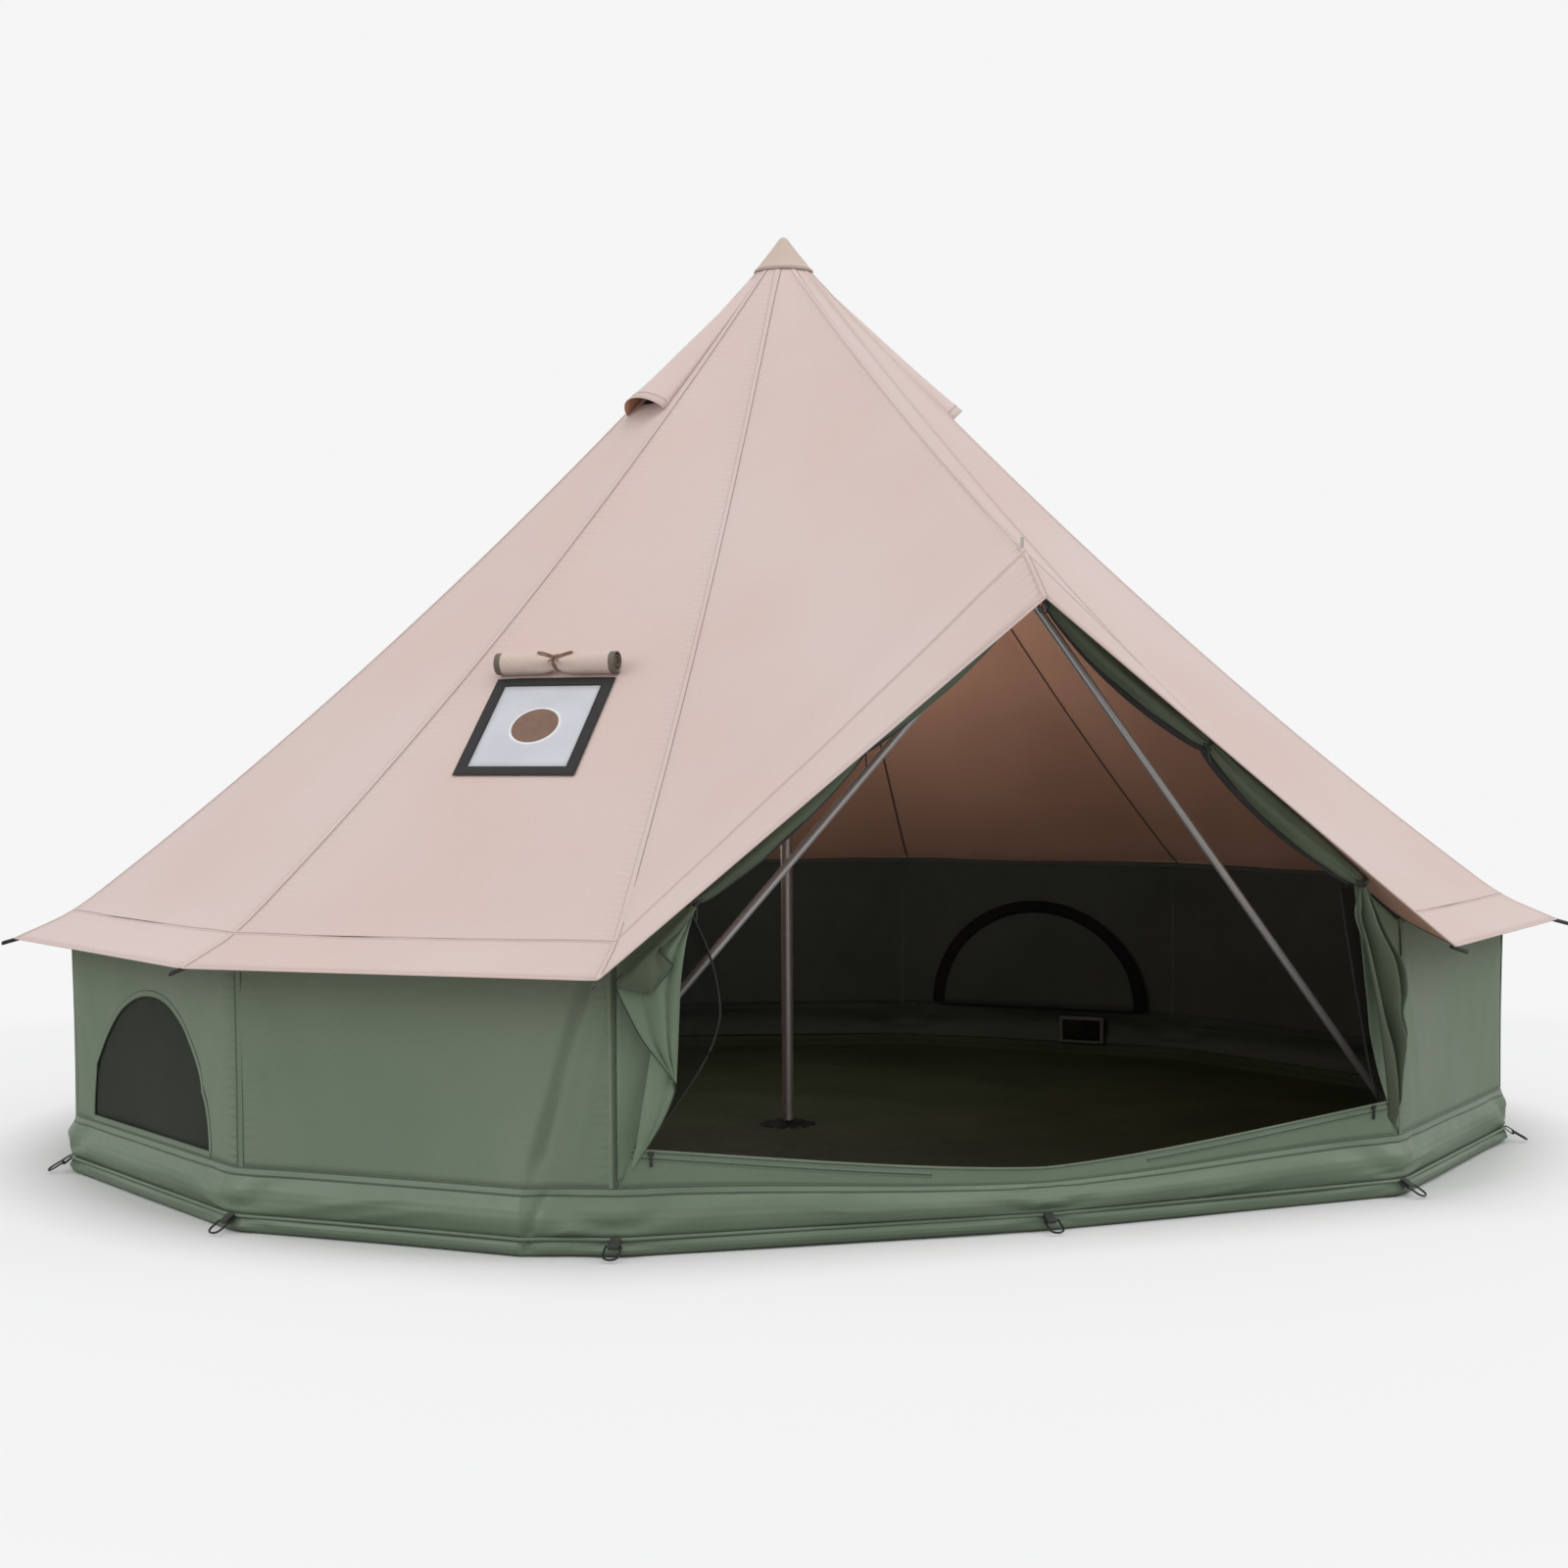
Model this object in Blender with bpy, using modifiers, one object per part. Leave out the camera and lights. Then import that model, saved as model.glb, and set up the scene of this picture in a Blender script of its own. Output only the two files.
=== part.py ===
"""Bell tent with a stove jack: canvas roof, upright walls, tub floor, door porch, poles and peg rings.

Units are metres, +Z is up, the tent stands on z = 0 with its centre pole on the Z axis and its door towards -Y.
Corners are numbered round the plan from the door's middle (0), by the right-hand door corner (1), to the
left-hand door corner (11).
"""
import math

import bmesh
import bpy
from mathutils import Matrix, Vector

degree = math.pi / 180

# Plan
floor_radius = 2.000
door_corner_radius = 1.896
door_middle_radius = 1.694
door_corner_angle = 31.5 * degree
side_corner_angles = (59.5 * degree, 89.0 * degree, 117.0 * degree, 147.0 * degree)

# Heights and roof line
apex_height = 2.540
cap_height = 0.100
cap_radius = 0.083
neck_radius = 0.055
roof_wall_height = 0.673
eave_height = 0.610
eave_reach = 0.145
roof_sag = 0.080
ridge_reach = 1.582
ridge_height = 1.539
ridge_sag = 0.025
porch_tip_reach = 1.688
porch_tip_height = 1.424
seam_rows = 8
roof_columns = 2
porch_columns = 16

# Cloth
cloth = 0.003
gap = 0.0003
wall_inset = 0.020

# Facets of round pieces, and the distance within which meeting points are one
turned_steps = 24
pin_steps = 16
eye_steps = 12
weld_distance = 0.00001

# Tub and floor: outward offset from the ground corner, and height, of the skirt's outer side
tub_height = 0.149
crease_height = 0.0385
crease_inset = 0.013
bulge_height = 0.070
bulge_inset = 0.008
shoulder_height = 0.110
shoulder_inset = 0.014
roll_height = 0.022
roll_inset = 0.002
toe_height = 0.010
foot_inset = 0.006
floor_edge_gap = 0.0035

# Threshold
threshold_end_height = 0.232
threshold_middle_height = 0.155
threshold_curve_share = 1.4
threshold_columns = 16

# Windows
window_width = 0.720
window_height = 0.330
window_sill = 0.012
window_screen = 0.0015
window_arc_steps = 16
window_sides = {2: "right", 4: "rear", 9: "left"}

# Webbing, piping, pegging points
piping_radius = 0.004
piping_stand_share = 1.45
strap_width = 0.024
strap_thickness = 0.004
strap_length = 0.020
strap_slope = 30 * degree
strap_root_share = 0.35
strap_eye_radius = 0.0062
ring_wire = 0.0025
ring_play = 0.0006
ring_width = 0.035
ring_length = 0.043
ring_near_round = 0.004
ring_far_round = 0.015
cord_radius = 0.0025
guy_loop_length = 0.040
guy_loop_half_gap = 0.006
guy_loop_slope = 15 * degree
binding_drop = 0.0057

# Centre pole
pole_radius = 0.0165
pole_foot_radius = 0.042
pole_foot_height = 0.012
pole_joint_height = 1.260
ferrule_radius = 0.0195
ferrule_length = 0.120

# Door frame
leg_radius = 0.011
leg_foot_reach = 1.220
leg_foot_front = 1.350
leg_straight = 0.035
leg_spacing = 0.018
bracket_width = 0.064
bracket_depth = 0.030
bracket_height = 0.034
bracket_round = 0.004
bracket_drop = 0.040
pin_radius = 0.004
pin_rise = 0.028
pin_play = 0.0015

# Stove jack
jack_reach = 1.330
jack_across_share = 0.46
jack_width = 0.315
jack_height = 0.345
jack_border = 0.032
jack_panel_thickness = 0.002
flap_radius = 0.027
flap_length = 0.320
flap_knot_shares = ((-0.50, 1.00), (-0.20, 0.95), (-0.04, 0.63), (0.04, 0.63), (0.20, 0.95), (0.50, 1.00))
flap_offset = 0.035
flap_hinge_lift = 0.004
flap_settle = 0.0006

# Vent hoods
hood_top_radius = 0.100
hood_lip_radius = 0.470
hood_rise = 0.060
hood_edge_share = 0.12
hood_rows = 5
hood_columns = 8
hood_corners = {"right": (2, 3), "left": (9, 10)}

# Cable port
port_width = 0.165
port_height = 0.092
port_thickness = 0.008
port_round = 0.002
port_middle_height = 0.082
port_side_shift = -0.160
port_recess = 0.0026
port_corners = (4, 5)

# Door cloth
tie_along = 0.165
drape_bottom_height = 0.205
drape_width = 0.190
drape_standoff = 0.050
drape_fold_depth = 0.018
drape_folds = 3
drape_columns = 18
drape_thickness = 0.004
drape_top_gap = 0.0016
roll_peak_radius = 0.010
roll_middle_radius = 0.028
roll_tie_radius = 0.016
roll_points = 9
roll_peak_share = 0.05
roll_seat_share = 0.60
roll_swell_start_share = 0.10
right_roll_clearance = 0.0008
left_roll_clearance = 0.0014

# Zip sliders
slider_width = 0.012
slider_height = 0.010
slider_thickness = 0.004
tab_width = 0.006
tab_length = 0.024
slider_end_distance = 0.075
slider_overlap = 0.008

# Shares of the drape's height, of its own width for the sideways shift, and of its half width
drape_row_shares = (
    (0.00, 0.00, 0.10),
    (0.14, -0.16, 0.48),
    (0.26, -0.46, 0.98),
    (0.42, -0.42, 0.92),
    (0.60, -0.36, 0.80),
    (0.78, -0.44, 0.56),
    (0.92, -0.66, 0.34),
    (1.00, -0.74, 0.22),
)

# Worked out once from the sizes above
half_plan = [(door_corner_angle, door_corner_radius)] + [(angle, floor_radius) for angle in side_corner_angles]
corners = [(0.0, door_middle_radius)] + half_plan + [(math.pi, floor_radius)]
corners += [(-angle, radius) for angle, radius in reversed(half_plan)]
cap_slope = cap_height / cap_radius
cap_drop = cloth * math.hypot(1, cap_slope)
hem_height = apex_height - cap_height - cap_drop - gap
wall_panels = [(index, index + 1) for index in range(1, len(corners) - 1)]
plan_step = 2 * math.pi / len(corners)
corner_inset = cloth * math.tan(plan_step / 2) + gap
ridge_turn = math.atan2(ridge_height - roof_wall_height, door_corner_radius * math.sin(door_corner_angle))
ridge_inset = cloth * math.tan(ridge_turn) + gap
roof_pitch = math.atan2(hem_height - roof_wall_height, (floor_radius - wall_inset) * math.cos(plan_step / 2))
wall_top = roof_wall_height - cloth / math.cos(roof_pitch) - 2 * gap
piping_inset = crease_inset - piping_radius * piping_stand_share
edge_pitch = math.atan2(porch_tip_height - eave_height, door_corner_radius * math.sin(door_corner_angle))


def clear_scene():
    """Removes what the new file holds, so that only the tent is left."""
    for thing in list(bpy.data.objects):
        bpy.data.objects.remove(thing, do_unlink=True)


def collection(name):
    """A new collection in the scene."""
    made = bpy.data.collections.new(name)
    bpy.context.scene.collection.children.link(made)
    return made


def finish(name, colour, roughness, metallic=0.0):
    """A plain Principled finish with the colour, roughness and metallic value of the real surface."""
    made = bpy.data.materials.new(name)
    made.use_nodes = True
    shader = made.node_tree.nodes["Principled BSDF"]
    shader.inputs["Base Color"].default_value = (*colour, 1.0)
    shader.inputs["Roughness"].default_value = roughness
    shader.inputs["Metallic"].default_value = metallic
    made.diffuse_color = (*colour, 1.0)
    return made


def roof_canvas():
    """Sand-pink cotton canvas of the roof."""
    return finish("roof_canvas", (0.66, 0.50, 0.44), 0.85)


def cap_canvas():
    """Darker, doubled canvas of the apex cap."""
    return finish("cap_canvas", (0.62, 0.50, 0.41), 0.85)


def wall_canvas():
    """Sage green canvas of the walls and doors."""
    return finish("wall_canvas", (0.125, 0.175, 0.125), 0.80)


def coated_skirt():
    """Green coated cloth of the tub."""
    return finish("coated_skirt", (0.135, 0.190, 0.140), 0.45)


def floor_sheet():
    """Dark olive groundsheet."""
    return finish("floor_sheet", (0.040, 0.040, 0.022), 0.60)


def black_webbing():
    """Woven black webbing, cord and binding."""
    return finish("black_webbing", (0.022, 0.022, 0.020), 0.75)


def ring_steel():
    """Blackened steel of the peg rings and zip sliders."""
    return finish("ring_steel", (0.040, 0.040, 0.040), 0.40, 1.0)


def pole_steel():
    """Grey steel tube of the poles."""
    return finish("pole_steel", (0.20, 0.17, 0.18), 0.40, 0.8)


def heat_panel():
    """Silver-white heat-proof cloth of the stove jack."""
    return finish("heat_panel", (0.60, 0.63, 0.68), 0.50)


def screen_mesh():
    """Dark insect mesh of the windows."""
    return finish("screen_mesh", (0.055, 0.070, 0.050), 0.90)


def corner(index, offset=0.0, height=0.0):
    """A plan corner, moved outward by offset and up to height."""
    angle, radius = corners[index % len(corners)]
    reach = radius + offset
    return Vector((reach * math.sin(angle), -reach * math.cos(angle), height))


def outward(index):
    """Level direction out of the tent at a corner."""
    angle = corners[index % len(corners)][0]
    return Vector((math.sin(angle), -math.cos(angle), 0))


def sagging_line(angle, reach, foot_height, sag, tip_reach, tip_height):
    """Points down a roof seam: neck under the cap, sagging run to the wall or ridge end, and the eave tip."""
    slope = (hem_height - foot_height) / (reach - cap_radius)
    places = [(neck_radius, hem_height + (cap_radius - neck_radius) * slope)]
    for row in range(seam_rows + 1):
        share = row / seam_rows
        height = hem_height + share * (foot_height - hem_height) - sag * 4 * share * (1 - share)
        places.append((cap_radius + share * (reach - cap_radius), height))
    places.append((tip_reach, tip_height))
    return [Vector((radius * math.sin(angle), -radius * math.cos(angle), height)) for radius, height in places]


def seam_line(index):
    """The roof seam that runs down to a corner."""
    angle, radius = corners[index % len(corners)]
    reach = radius - wall_inset
    return sagging_line(angle, reach, roof_wall_height, roof_sag, reach + eave_reach, eave_height)


def ridge_line():
    """The porch ridge, which runs out over the door."""
    return sagging_line(0.0, ridge_reach, ridge_height, ridge_sag, porch_tip_reach, porch_tip_height)


def on_roof(first, second, place, across):
    """Point and outward normal on the cloth between two seam lines, at a row place and a share across."""
    row = min(int(place), len(first) - 2)
    part = place - row
    low, high = first[row].lerp(first[row + 1], part), second[row].lerp(second[row + 1], part)
    down = (first[row + 1] - first[row]).lerp(second[row + 1] - second[row], across)
    return low.lerp(high, across), down.cross(high - low).normalized()


def row_at_radius(line, radius):
    """The row place where a seam line reaches a radius."""
    for row in range(len(line) - 1):
        near, far = line[row].xy.length, line[row + 1].xy.length
        if near <= radius <= far:
            return row + (radius - near) / (far - near)
    return float(len(line) - 1)


def link(name, data, group, material):
    """A named object in a collection, with its own material."""
    made = bpy.data.objects.new(name, data)
    group.objects.link(made)
    data.materials.clear()
    data.materials.append(material)
    return made


def sheet(name, rows, group, material, thickness=cloth, side=-1, ring=False):
    """Cloth lofted through rows of points, from top to bottom, and thickened to one side."""
    mesh = bpy.data.meshes.new(name)
    shape = bmesh.new()
    grid = [[shape.verts.new(point) for point in row] for row in rows]
    count = len(rows[0])
    for upper, lower in zip(grid, grid[1:]):
        for column in range(count if ring else count - 1):
            after = (column + 1) % count
            shape.faces.new((upper[column], lower[column], lower[after], upper[after]))
    shape.to_mesh(mesh)
    shape.free()
    made = link(name, mesh, group, material)
    thick = made.modifiers.new("thickness", "SOLIDIFY")
    thick.thickness = thickness
    thick.offset = side
    thick.use_even_offset = True
    return made


def tube(name, points, radius, group, material, closed=False, shares=None, resolution=2):
    """A round tube along a line of points, as a curve with a bevel; shares scale its radius at each point."""
    data = bpy.data.curves.new(name, "CURVE")
    data.dimensions = "3D"
    data.bevel_depth = radius
    data.bevel_resolution = resolution
    data.use_fill_caps = not closed
    spline = data.splines.new("POLY")
    spline.points.add(len(points) - 1)
    for index, (knot, point) in enumerate(zip(spline.points, points)):
        knot.co = (*point, 1)
        knot.radius = shares[index] if shares else 1.0
    spline.use_cyclic_u = closed
    return link(name, data, group, material)


def plate(name, outlines, thickness, group, material):
    """A flat plate: 2D outlines, the later ones holes, filled and extruded by half the thickness each way."""
    data = bpy.data.curves.new(name, "CURVE")
    data.dimensions = "2D"
    data.fill_mode = "BOTH"
    data.extrude = thickness / 2
    for outline in outlines:
        spline = data.splines.new("POLY")
        spline.points.add(len(outline) - 1)
        for knot, point in zip(spline.points, outline):
            knot.co = (point[0], point[1], 0, 1)
        spline.use_cyclic_u = True
    return link(name, data, group, material)


def turned(name, profile, group, material):
    """A turned piece: a profile at +X, from top to bottom on its outer side, with a Screw modifier."""
    mesh = bpy.data.meshes.new(name)
    mesh.from_pydata([(radius, 0, height) for radius, height in profile],
                     [(index, index + 1) for index in range(len(profile) - 1)], [])
    made = link(name, mesh, group, material)
    screw = made.modifiers.new("turn", "SCREW")
    screw.steps = turned_steps
    screw.render_steps = turned_steps
    screw.use_merge_vertices = True
    screw.merge_threshold = weld_distance
    screw.use_smooth_shade = True
    return made


def as_mesh(curve_object, group):
    """The closed mesh of a curve object, which then takes part in a Boolean."""
    graph = bpy.context.evaluated_depsgraph_get()
    graph.update()
    mesh = bpy.data.meshes.new_from_object(curve_object.evaluated_get(graph))
    shape = bmesh.new()
    shape.from_mesh(mesh)
    bmesh.ops.remove_doubles(shape, verts=shape.verts, dist=weld_distance)
    shape.to_mesh(mesh)
    shape.free()
    name, material, place = curve_object.name, curve_object.data.materials[0], curve_object.matrix_world.copy()
    bpy.data.objects.remove(curve_object, do_unlink=True)
    made = link(name, mesh, group, material)
    made.matrix_world = place
    return made


def boolean(target, tool, operation):
    """Cuts or joins with another object, and hides that object as a guide."""
    step = target.modifiers.new(tool.name, "BOOLEAN")
    step.operation = operation
    step.solver = "EXACT"
    step.object = tool
    tool.hide_render = True
    tool.display_type = "WIRE"


def place(thing, origin, along, up):
    """Sets an object's local X along one direction and its local Y as near another as a right angle allows."""
    x = along.normalized()
    z = x.cross(up).normalized()
    y = z.cross(x)
    thing.matrix_world = Matrix.Translation(origin) @ Matrix((x, y, z)).transposed().to_4x4()
    return thing


def arc(centre, radius, start, end, count):
    """Points round an arc, both ends included."""
    turns = [start + (end - start) * step / count for step in range(count + 1)]
    return [(centre[0] + radius * math.cos(turn), centre[1] + radius * math.sin(turn)) for turn in turns]


def rectangle(width, height):
    """Corner points of a rectangle about its middle."""
    return [(-width / 2, -height / 2), (width / 2, -height / 2), (width / 2, height / 2), (-width / 2, height / 2)]


def gore(name, first, second, first_inset, second_inset, columns, group):
    """One roof panel between two seam lines, drawn in from each seam so that neighbours keep their gap."""
    rows = []
    for left, right in zip(first, second):
        across = (right - left).normalized()
        start, end = left + across * first_inset, right - across * second_inset
        rows.append([start.lerp(end, column / columns) for column in range(columns + 1)])
    return sheet(name, rows, group, roof_canvas())


def roof(group):
    """Ten side panels of the roof, numbered round from the right-hand door corner."""
    for number, (left, right) in enumerate(wall_panels, 1):
        gore(f"roof_panel_{number:02d}", seam_line(left), seam_line(right), corner_inset, corner_inset,
             roof_columns, group)


def porch(group, cutters):
    """The two long roof panels that carry on over the door, notched at the ridge for the frame's pin."""
    last = len(corners) - 1
    right = gore("porch_panel_right", ridge_line(), seam_line(1), ridge_inset, corner_inset, porch_columns, group)
    left = gore("porch_panel_left", seam_line(last), ridge_line(), corner_inset, ridge_inset, porch_columns, group)
    bpy.ops.mesh.primitive_cylinder_add(vertices=pin_steps, radius=pin_radius + pin_play, depth=4 * pin_rise,
                                        location=(0, -pin_reach(), ridge_height))
    cutter = bpy.context.active_object
    cutter.name = "pin_hole_cutter"
    for holder in list(cutter.users_collection):
        holder.objects.unlink(cutter)
    cutters.objects.link(cutter)
    boolean(right, cutter, "DIFFERENCE")
    boolean(left, cutter, "DIFFERENCE")


def pin_reach():
    """Distance of the door frame's pin from the pole, a little short of the ridge's end."""
    return ridge_reach - bracket_depth / 2


def apex_cap(group):
    """Doubled cone of canvas over the pole's top."""
    profile = [(0, apex_height), (cap_radius, apex_height - cap_height),
               (cap_radius - cap_drop / cap_slope, apex_height - cap_height), (0, apex_height - cap_drop)]
    turned("apex_cap", profile, group, cap_canvas())


def window_outline(width, height):
    """Half-round window: a level sill and an arch over it."""
    turns = [math.pi * step / window_arc_steps for step in range(window_arc_steps + 1)]
    return [(width / 2 * math.cos(turn), height * math.sin(turn)) for turn in turns]


def panel_frame(left, right, offset, height):
    """Middle, sideways direction and width of the upright plane between two plan corners."""
    start, end = corner(left, offset, height), corner(right, offset, height)
    return (start + end) / 2, (end - start).normalized(), (end - start).length


def walls(group):
    """Ten upright wall panels; three of them have a window with its mesh."""
    base = tub_height + gap
    height = wall_top - base
    for number, (left, right) in enumerate(wall_panels, 1):
        middle, along, width = panel_frame(left, right, -wall_inset, base)
        half = width / 2 - corner_inset
        outlines = [[(-half, 0), (half, 0), (half, height), (-half, height)]]
        inward = middle - along.cross(Vector((0, 0, 1))) * cloth / 2
        if number in window_sides:
            hole = window_outline(window_width, window_height)
            outlines.append([(x, y + window_sill) for x, y in hole])
            screen = window_outline(window_width - 2 * gap, window_height - 2 * gap)
            net = plate(f"window_mesh_{window_sides[number]}", [[(x, y + window_sill + gap) for x, y in screen]],
                        window_screen, group, screen_mesh())
            place(net, inward, along, Vector((0, 0, 1)))
        panel = plate(f"wall_panel_{number:02d}", outlines, cloth, group, wall_canvas())
        place(panel, inward, along, Vector((0, 0, 1)))


def tub(group):
    """Coated skirt that runs all round and turns under the floor's edge."""
    profile = [(wall_inset, tub_height), (shoulder_inset, shoulder_height), (bulge_inset, bulge_height),
               (crease_inset, crease_height), (roll_inset, roll_height), (0, toe_height), (foot_inset, 0)]
    rows = [[corner(index, -inset, height) for index in range(len(corners))] for inset, height in profile]
    sheet("tub_skirt", rows, group, coated_skirt(), ring=True)


def floor(group):
    """Groundsheet inside the tub, flat on the ground."""
    outline = [corner(index, -foot_inset - floor_edge_gap).xy for index in range(len(corners))]
    made = plate("groundsheet_floor", [outline], cloth, group, floor_sheet())
    made.location.z = cloth / 2


def threshold(group):
    """Door sill: a strip of skirt cloth on the tub, low in the middle and higher at the door corners."""
    top, bottom = [], []
    base = tub_height + gap
    for step in range(threshold_columns + 1):
        share = 2 * step / threshold_columns - 1
        end = corner(1 if share > 0 else len(corners) - 1, -wall_inset)
        end += (corner(0) - end).normalized() * corner_inset
        point = corner(0, -wall_inset).lerp(end, abs(share))
        rise = (threshold_end_height - threshold_middle_height) * abs(share) ** threshold_curve_share
        top.append(point + Vector((0, 0, threshold_middle_height + rise)))
        bottom.append(point + Vector((0, 0, base)))
    sheet("door_threshold", [top, bottom], group, coated_skirt())


def peg_webbing(group, cutters):
    """Piping in the tub's crease, joined with a webbing strap and eye at each corner."""
    line = [corner(index, -piping_inset, crease_height) for index in range(len(corners))]
    made = as_mesh(tube("peg_webbing", line, piping_radius, cutters, black_webbing(), closed=True), group)
    half = strap_thickness / 2
    turn = math.asin(half / strap_eye_radius)
    round_end = arc((strap_length, 0), strap_eye_radius, math.pi - turn, turn - math.pi, eye_steps)
    root = -strap_root_share * piping_radius
    outline = [(root, half)] + round_end + [(root, -half)]
    eye = arc((strap_length, 0), ring_wire + ring_play, 0, 2 * math.pi * (1 - 1 / eye_steps), eye_steps - 1)
    for index in range(len(corners)):
        strap = plate(f"strap_{index:02d}", [outline, eye], strap_width, cutters, black_webbing())
        down = outward(index) * math.cos(strap_slope) - Vector((0, 0, math.sin(strap_slope)))
        place(strap, line[index], down, Vector((0, 0, 1)))
        boolean(made, as_mesh(strap, cutters), "UNION")


def ring_outline():
    """Centreline of a peg ring: a straight bar through the strap's eye and a wide round end."""
    half, near, far = ring_width / 2, ring_near_round, ring_far_round
    points = arc((near, half - near), near, math.pi, math.pi / 2, 2)
    points += arc((ring_length - far, half - far), far, math.pi / 2, 0, 4)
    points += arc((ring_length - far, far - half), far, 0, -math.pi / 2, 4)
    points += arc((near, near - half), near, -math.pi / 2, -math.pi, 2)
    return points


def peg_rings(group):
    """Steel ring in each strap's eye, with its origin on the bar that it swings about."""
    for index in range(len(corners)):
        down = outward(index) * math.cos(strap_slope) - Vector((0, 0, math.sin(strap_slope)))
        origin = corner(index, -piping_inset, crease_height) + down * strap_length
        points = [(x, y, 0) for x, y in ring_outline()]
        ring = tube(f"peg_ring_{index:02d}", points, ring_wire, group, ring_steel(), closed=True, resolution=1)
        level = Vector((0, 0, 1)).cross(outward(index))
        place(ring, origin, down, level)


def eave_binding(group):
    """Cord bound under the eave and the porch edge, drawn out into a guy loop at each corner."""
    drop = Vector((0, 0, binding_drop))
    points = [ridge_line()[-1] - drop]
    for index in range(1, len(corners)):
        tip = seam_line(index)[-1] - drop
        side = Vector((0, 0, 1)).cross(outward(index)) * guy_loop_half_gap
        away = outward(index) * math.cos(guy_loop_slope) - Vector((0, 0, math.sin(guy_loop_slope)))
        points += [tip - side, tip - side + away * guy_loop_length]
        points += [tip + away * (guy_loop_length + guy_loop_half_gap)]
        points += [tip + side + away * guy_loop_length, tip + side]
    tube("eave_binding", points, cord_radius, group, black_webbing(), closed=True, resolution=1)


def centre_pole(group):
    """Two pole sections: the lower on its foot with a ferrule, the upper under the apex cap."""
    foot = cloth + gap
    profile = [(0, pole_joint_height), (ferrule_radius, pole_joint_height),
               (ferrule_radius, pole_joint_height - ferrule_length), (pole_radius, pole_joint_height - ferrule_length),
               (pole_radius, foot + pole_foot_height), (pole_foot_radius, foot + pole_foot_height / 2),
               (pole_foot_radius, foot), (0, foot)]
    turned("pole_lower", profile, group, pole_steel())
    crown = apex_height - cap_drop - gap
    profile = [(0, crown), (pole_radius, crown - pole_radius * cap_slope),
               (pole_radius, pole_joint_height + gap), (0, pole_joint_height + gap)]
    turned("pole_upper", profile, group, pole_steel())


def bracket_base():
    """Height of the underside of the door frame's bracket."""
    return ridge_height - bracket_drop - bracket_height


def door_frame(group, cutters):
    """Two steel legs under a bracket, whose pin stands through the porch ridge."""
    for name, side in (("door_leg_right", 1), ("door_leg_left", -1)):
        top = Vector((side * leg_spacing, -pin_reach(), bracket_base() - gap))
        foot = Vector((side * leg_foot_reach, -leg_foot_front, cloth + gap))
        rise = Vector((0, 0, leg_straight))
        tube(name, [top, top - rise, foot + rise, foot], leg_radius, group, pole_steel(), resolution=3)
    mesh = bpy.data.meshes.new("door_frame_bracket")
    shape = bmesh.new()
    bmesh.ops.create_cube(shape, size=1)
    bmesh.ops.scale(shape, verts=shape.verts, vec=(bracket_width, bracket_depth, bracket_height))
    shape.to_mesh(mesh)
    shape.free()
    bracket = link("door_frame_bracket", mesh, group, pole_steel())
    bracket.location = (0, -pin_reach(), bracket_base() + bracket_height / 2)
    edge = bracket.modifiers.new("rounded edges", "BEVEL")
    edge.width = bracket_round
    edge.segments = 2
    length = bracket_drop + pin_rise + bracket_height / 2
    pin_mesh = bpy.data.meshes.new("pin")
    shape = bmesh.new()
    bmesh.ops.create_cone(shape, cap_ends=True, segments=pin_steps, radius1=pin_radius, radius2=pin_radius,
                          depth=length)
    shape.to_mesh(pin_mesh)
    shape.free()
    pin = link("pin", pin_mesh, cutters, pole_steel())
    pin.location = (0, -pin_reach(), bracket_base() + bracket_height / 2 + length / 2)
    boolean(bracket, pin, "UNION")


def stove_jack(group):
    """Binding frame, heat panel and rolled rain flap, on the roof panel left of the door."""
    first, second = seam_line(len(corners) - 2), seam_line(len(corners) - 1)
    middle = [a.lerp(b, jack_across_share) for a, b in zip(first, second)]
    place_row = row_at_radius(middle, jack_reach)
    point, normal = on_roof(first, second, place_row, jack_across_share)
    left, _ = on_roof(first, second, place_row, 0.0)
    right, _ = on_roof(first, second, place_row, 1.0)
    along = (right - left).normalized()
    up_slope = normal.cross(along)
    half_across = jack_width / 2 / (right - left).length
    half_down = jack_height / 2 * math.cos(roof_pitch)
    lift = gap
    for across in (jack_across_share - half_across, jack_across_share + half_across):
        for reach in (jack_reach - half_down, jack_reach + half_down):
            spot, _ = on_roof(first, second, row_at_radius(middle, reach), across)
            lift = max(lift, (spot - point).dot(normal) + gap)
    base = point + normal * (lift + cloth / 2)
    hole = rectangle(jack_width - 2 * jack_border, jack_height - 2 * jack_border)
    frame = plate("stove_jack_frame", [rectangle(jack_width, jack_height), hole], cloth, group, black_webbing())
    place(frame, base, along, up_slope)
    inner = rectangle(jack_width - 2 * jack_border - 2 * gap, jack_height - 2 * jack_border - 2 * gap)
    panel = plate("stove_jack_panel", [inner], jack_panel_thickness, group, heat_panel())
    place(panel, base, along, up_slope)
    hinge = point + up_slope * jack_height / 2 + normal * flap_hinge_lift
    seat_row = row_at_radius(middle, jack_reach - (jack_height / 2 + flap_offset) * math.cos(roof_pitch))
    seat, seat_normal = on_roof(first, second, seat_row, jack_across_share)
    rise = (seat + seat_normal * (flap_radius - flap_settle) - hinge).dot(normal)
    line = [(share * flap_length, flap_offset, rise) for share, _ in flap_knot_shares]
    swells = [swell for _, swell in flap_knot_shares]
    flap = tube("stove_flap_roll", line, flap_radius, group, roof_canvas(), shares=swells, resolution=3)
    place(flap, hinge, along, up_slope)


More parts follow.
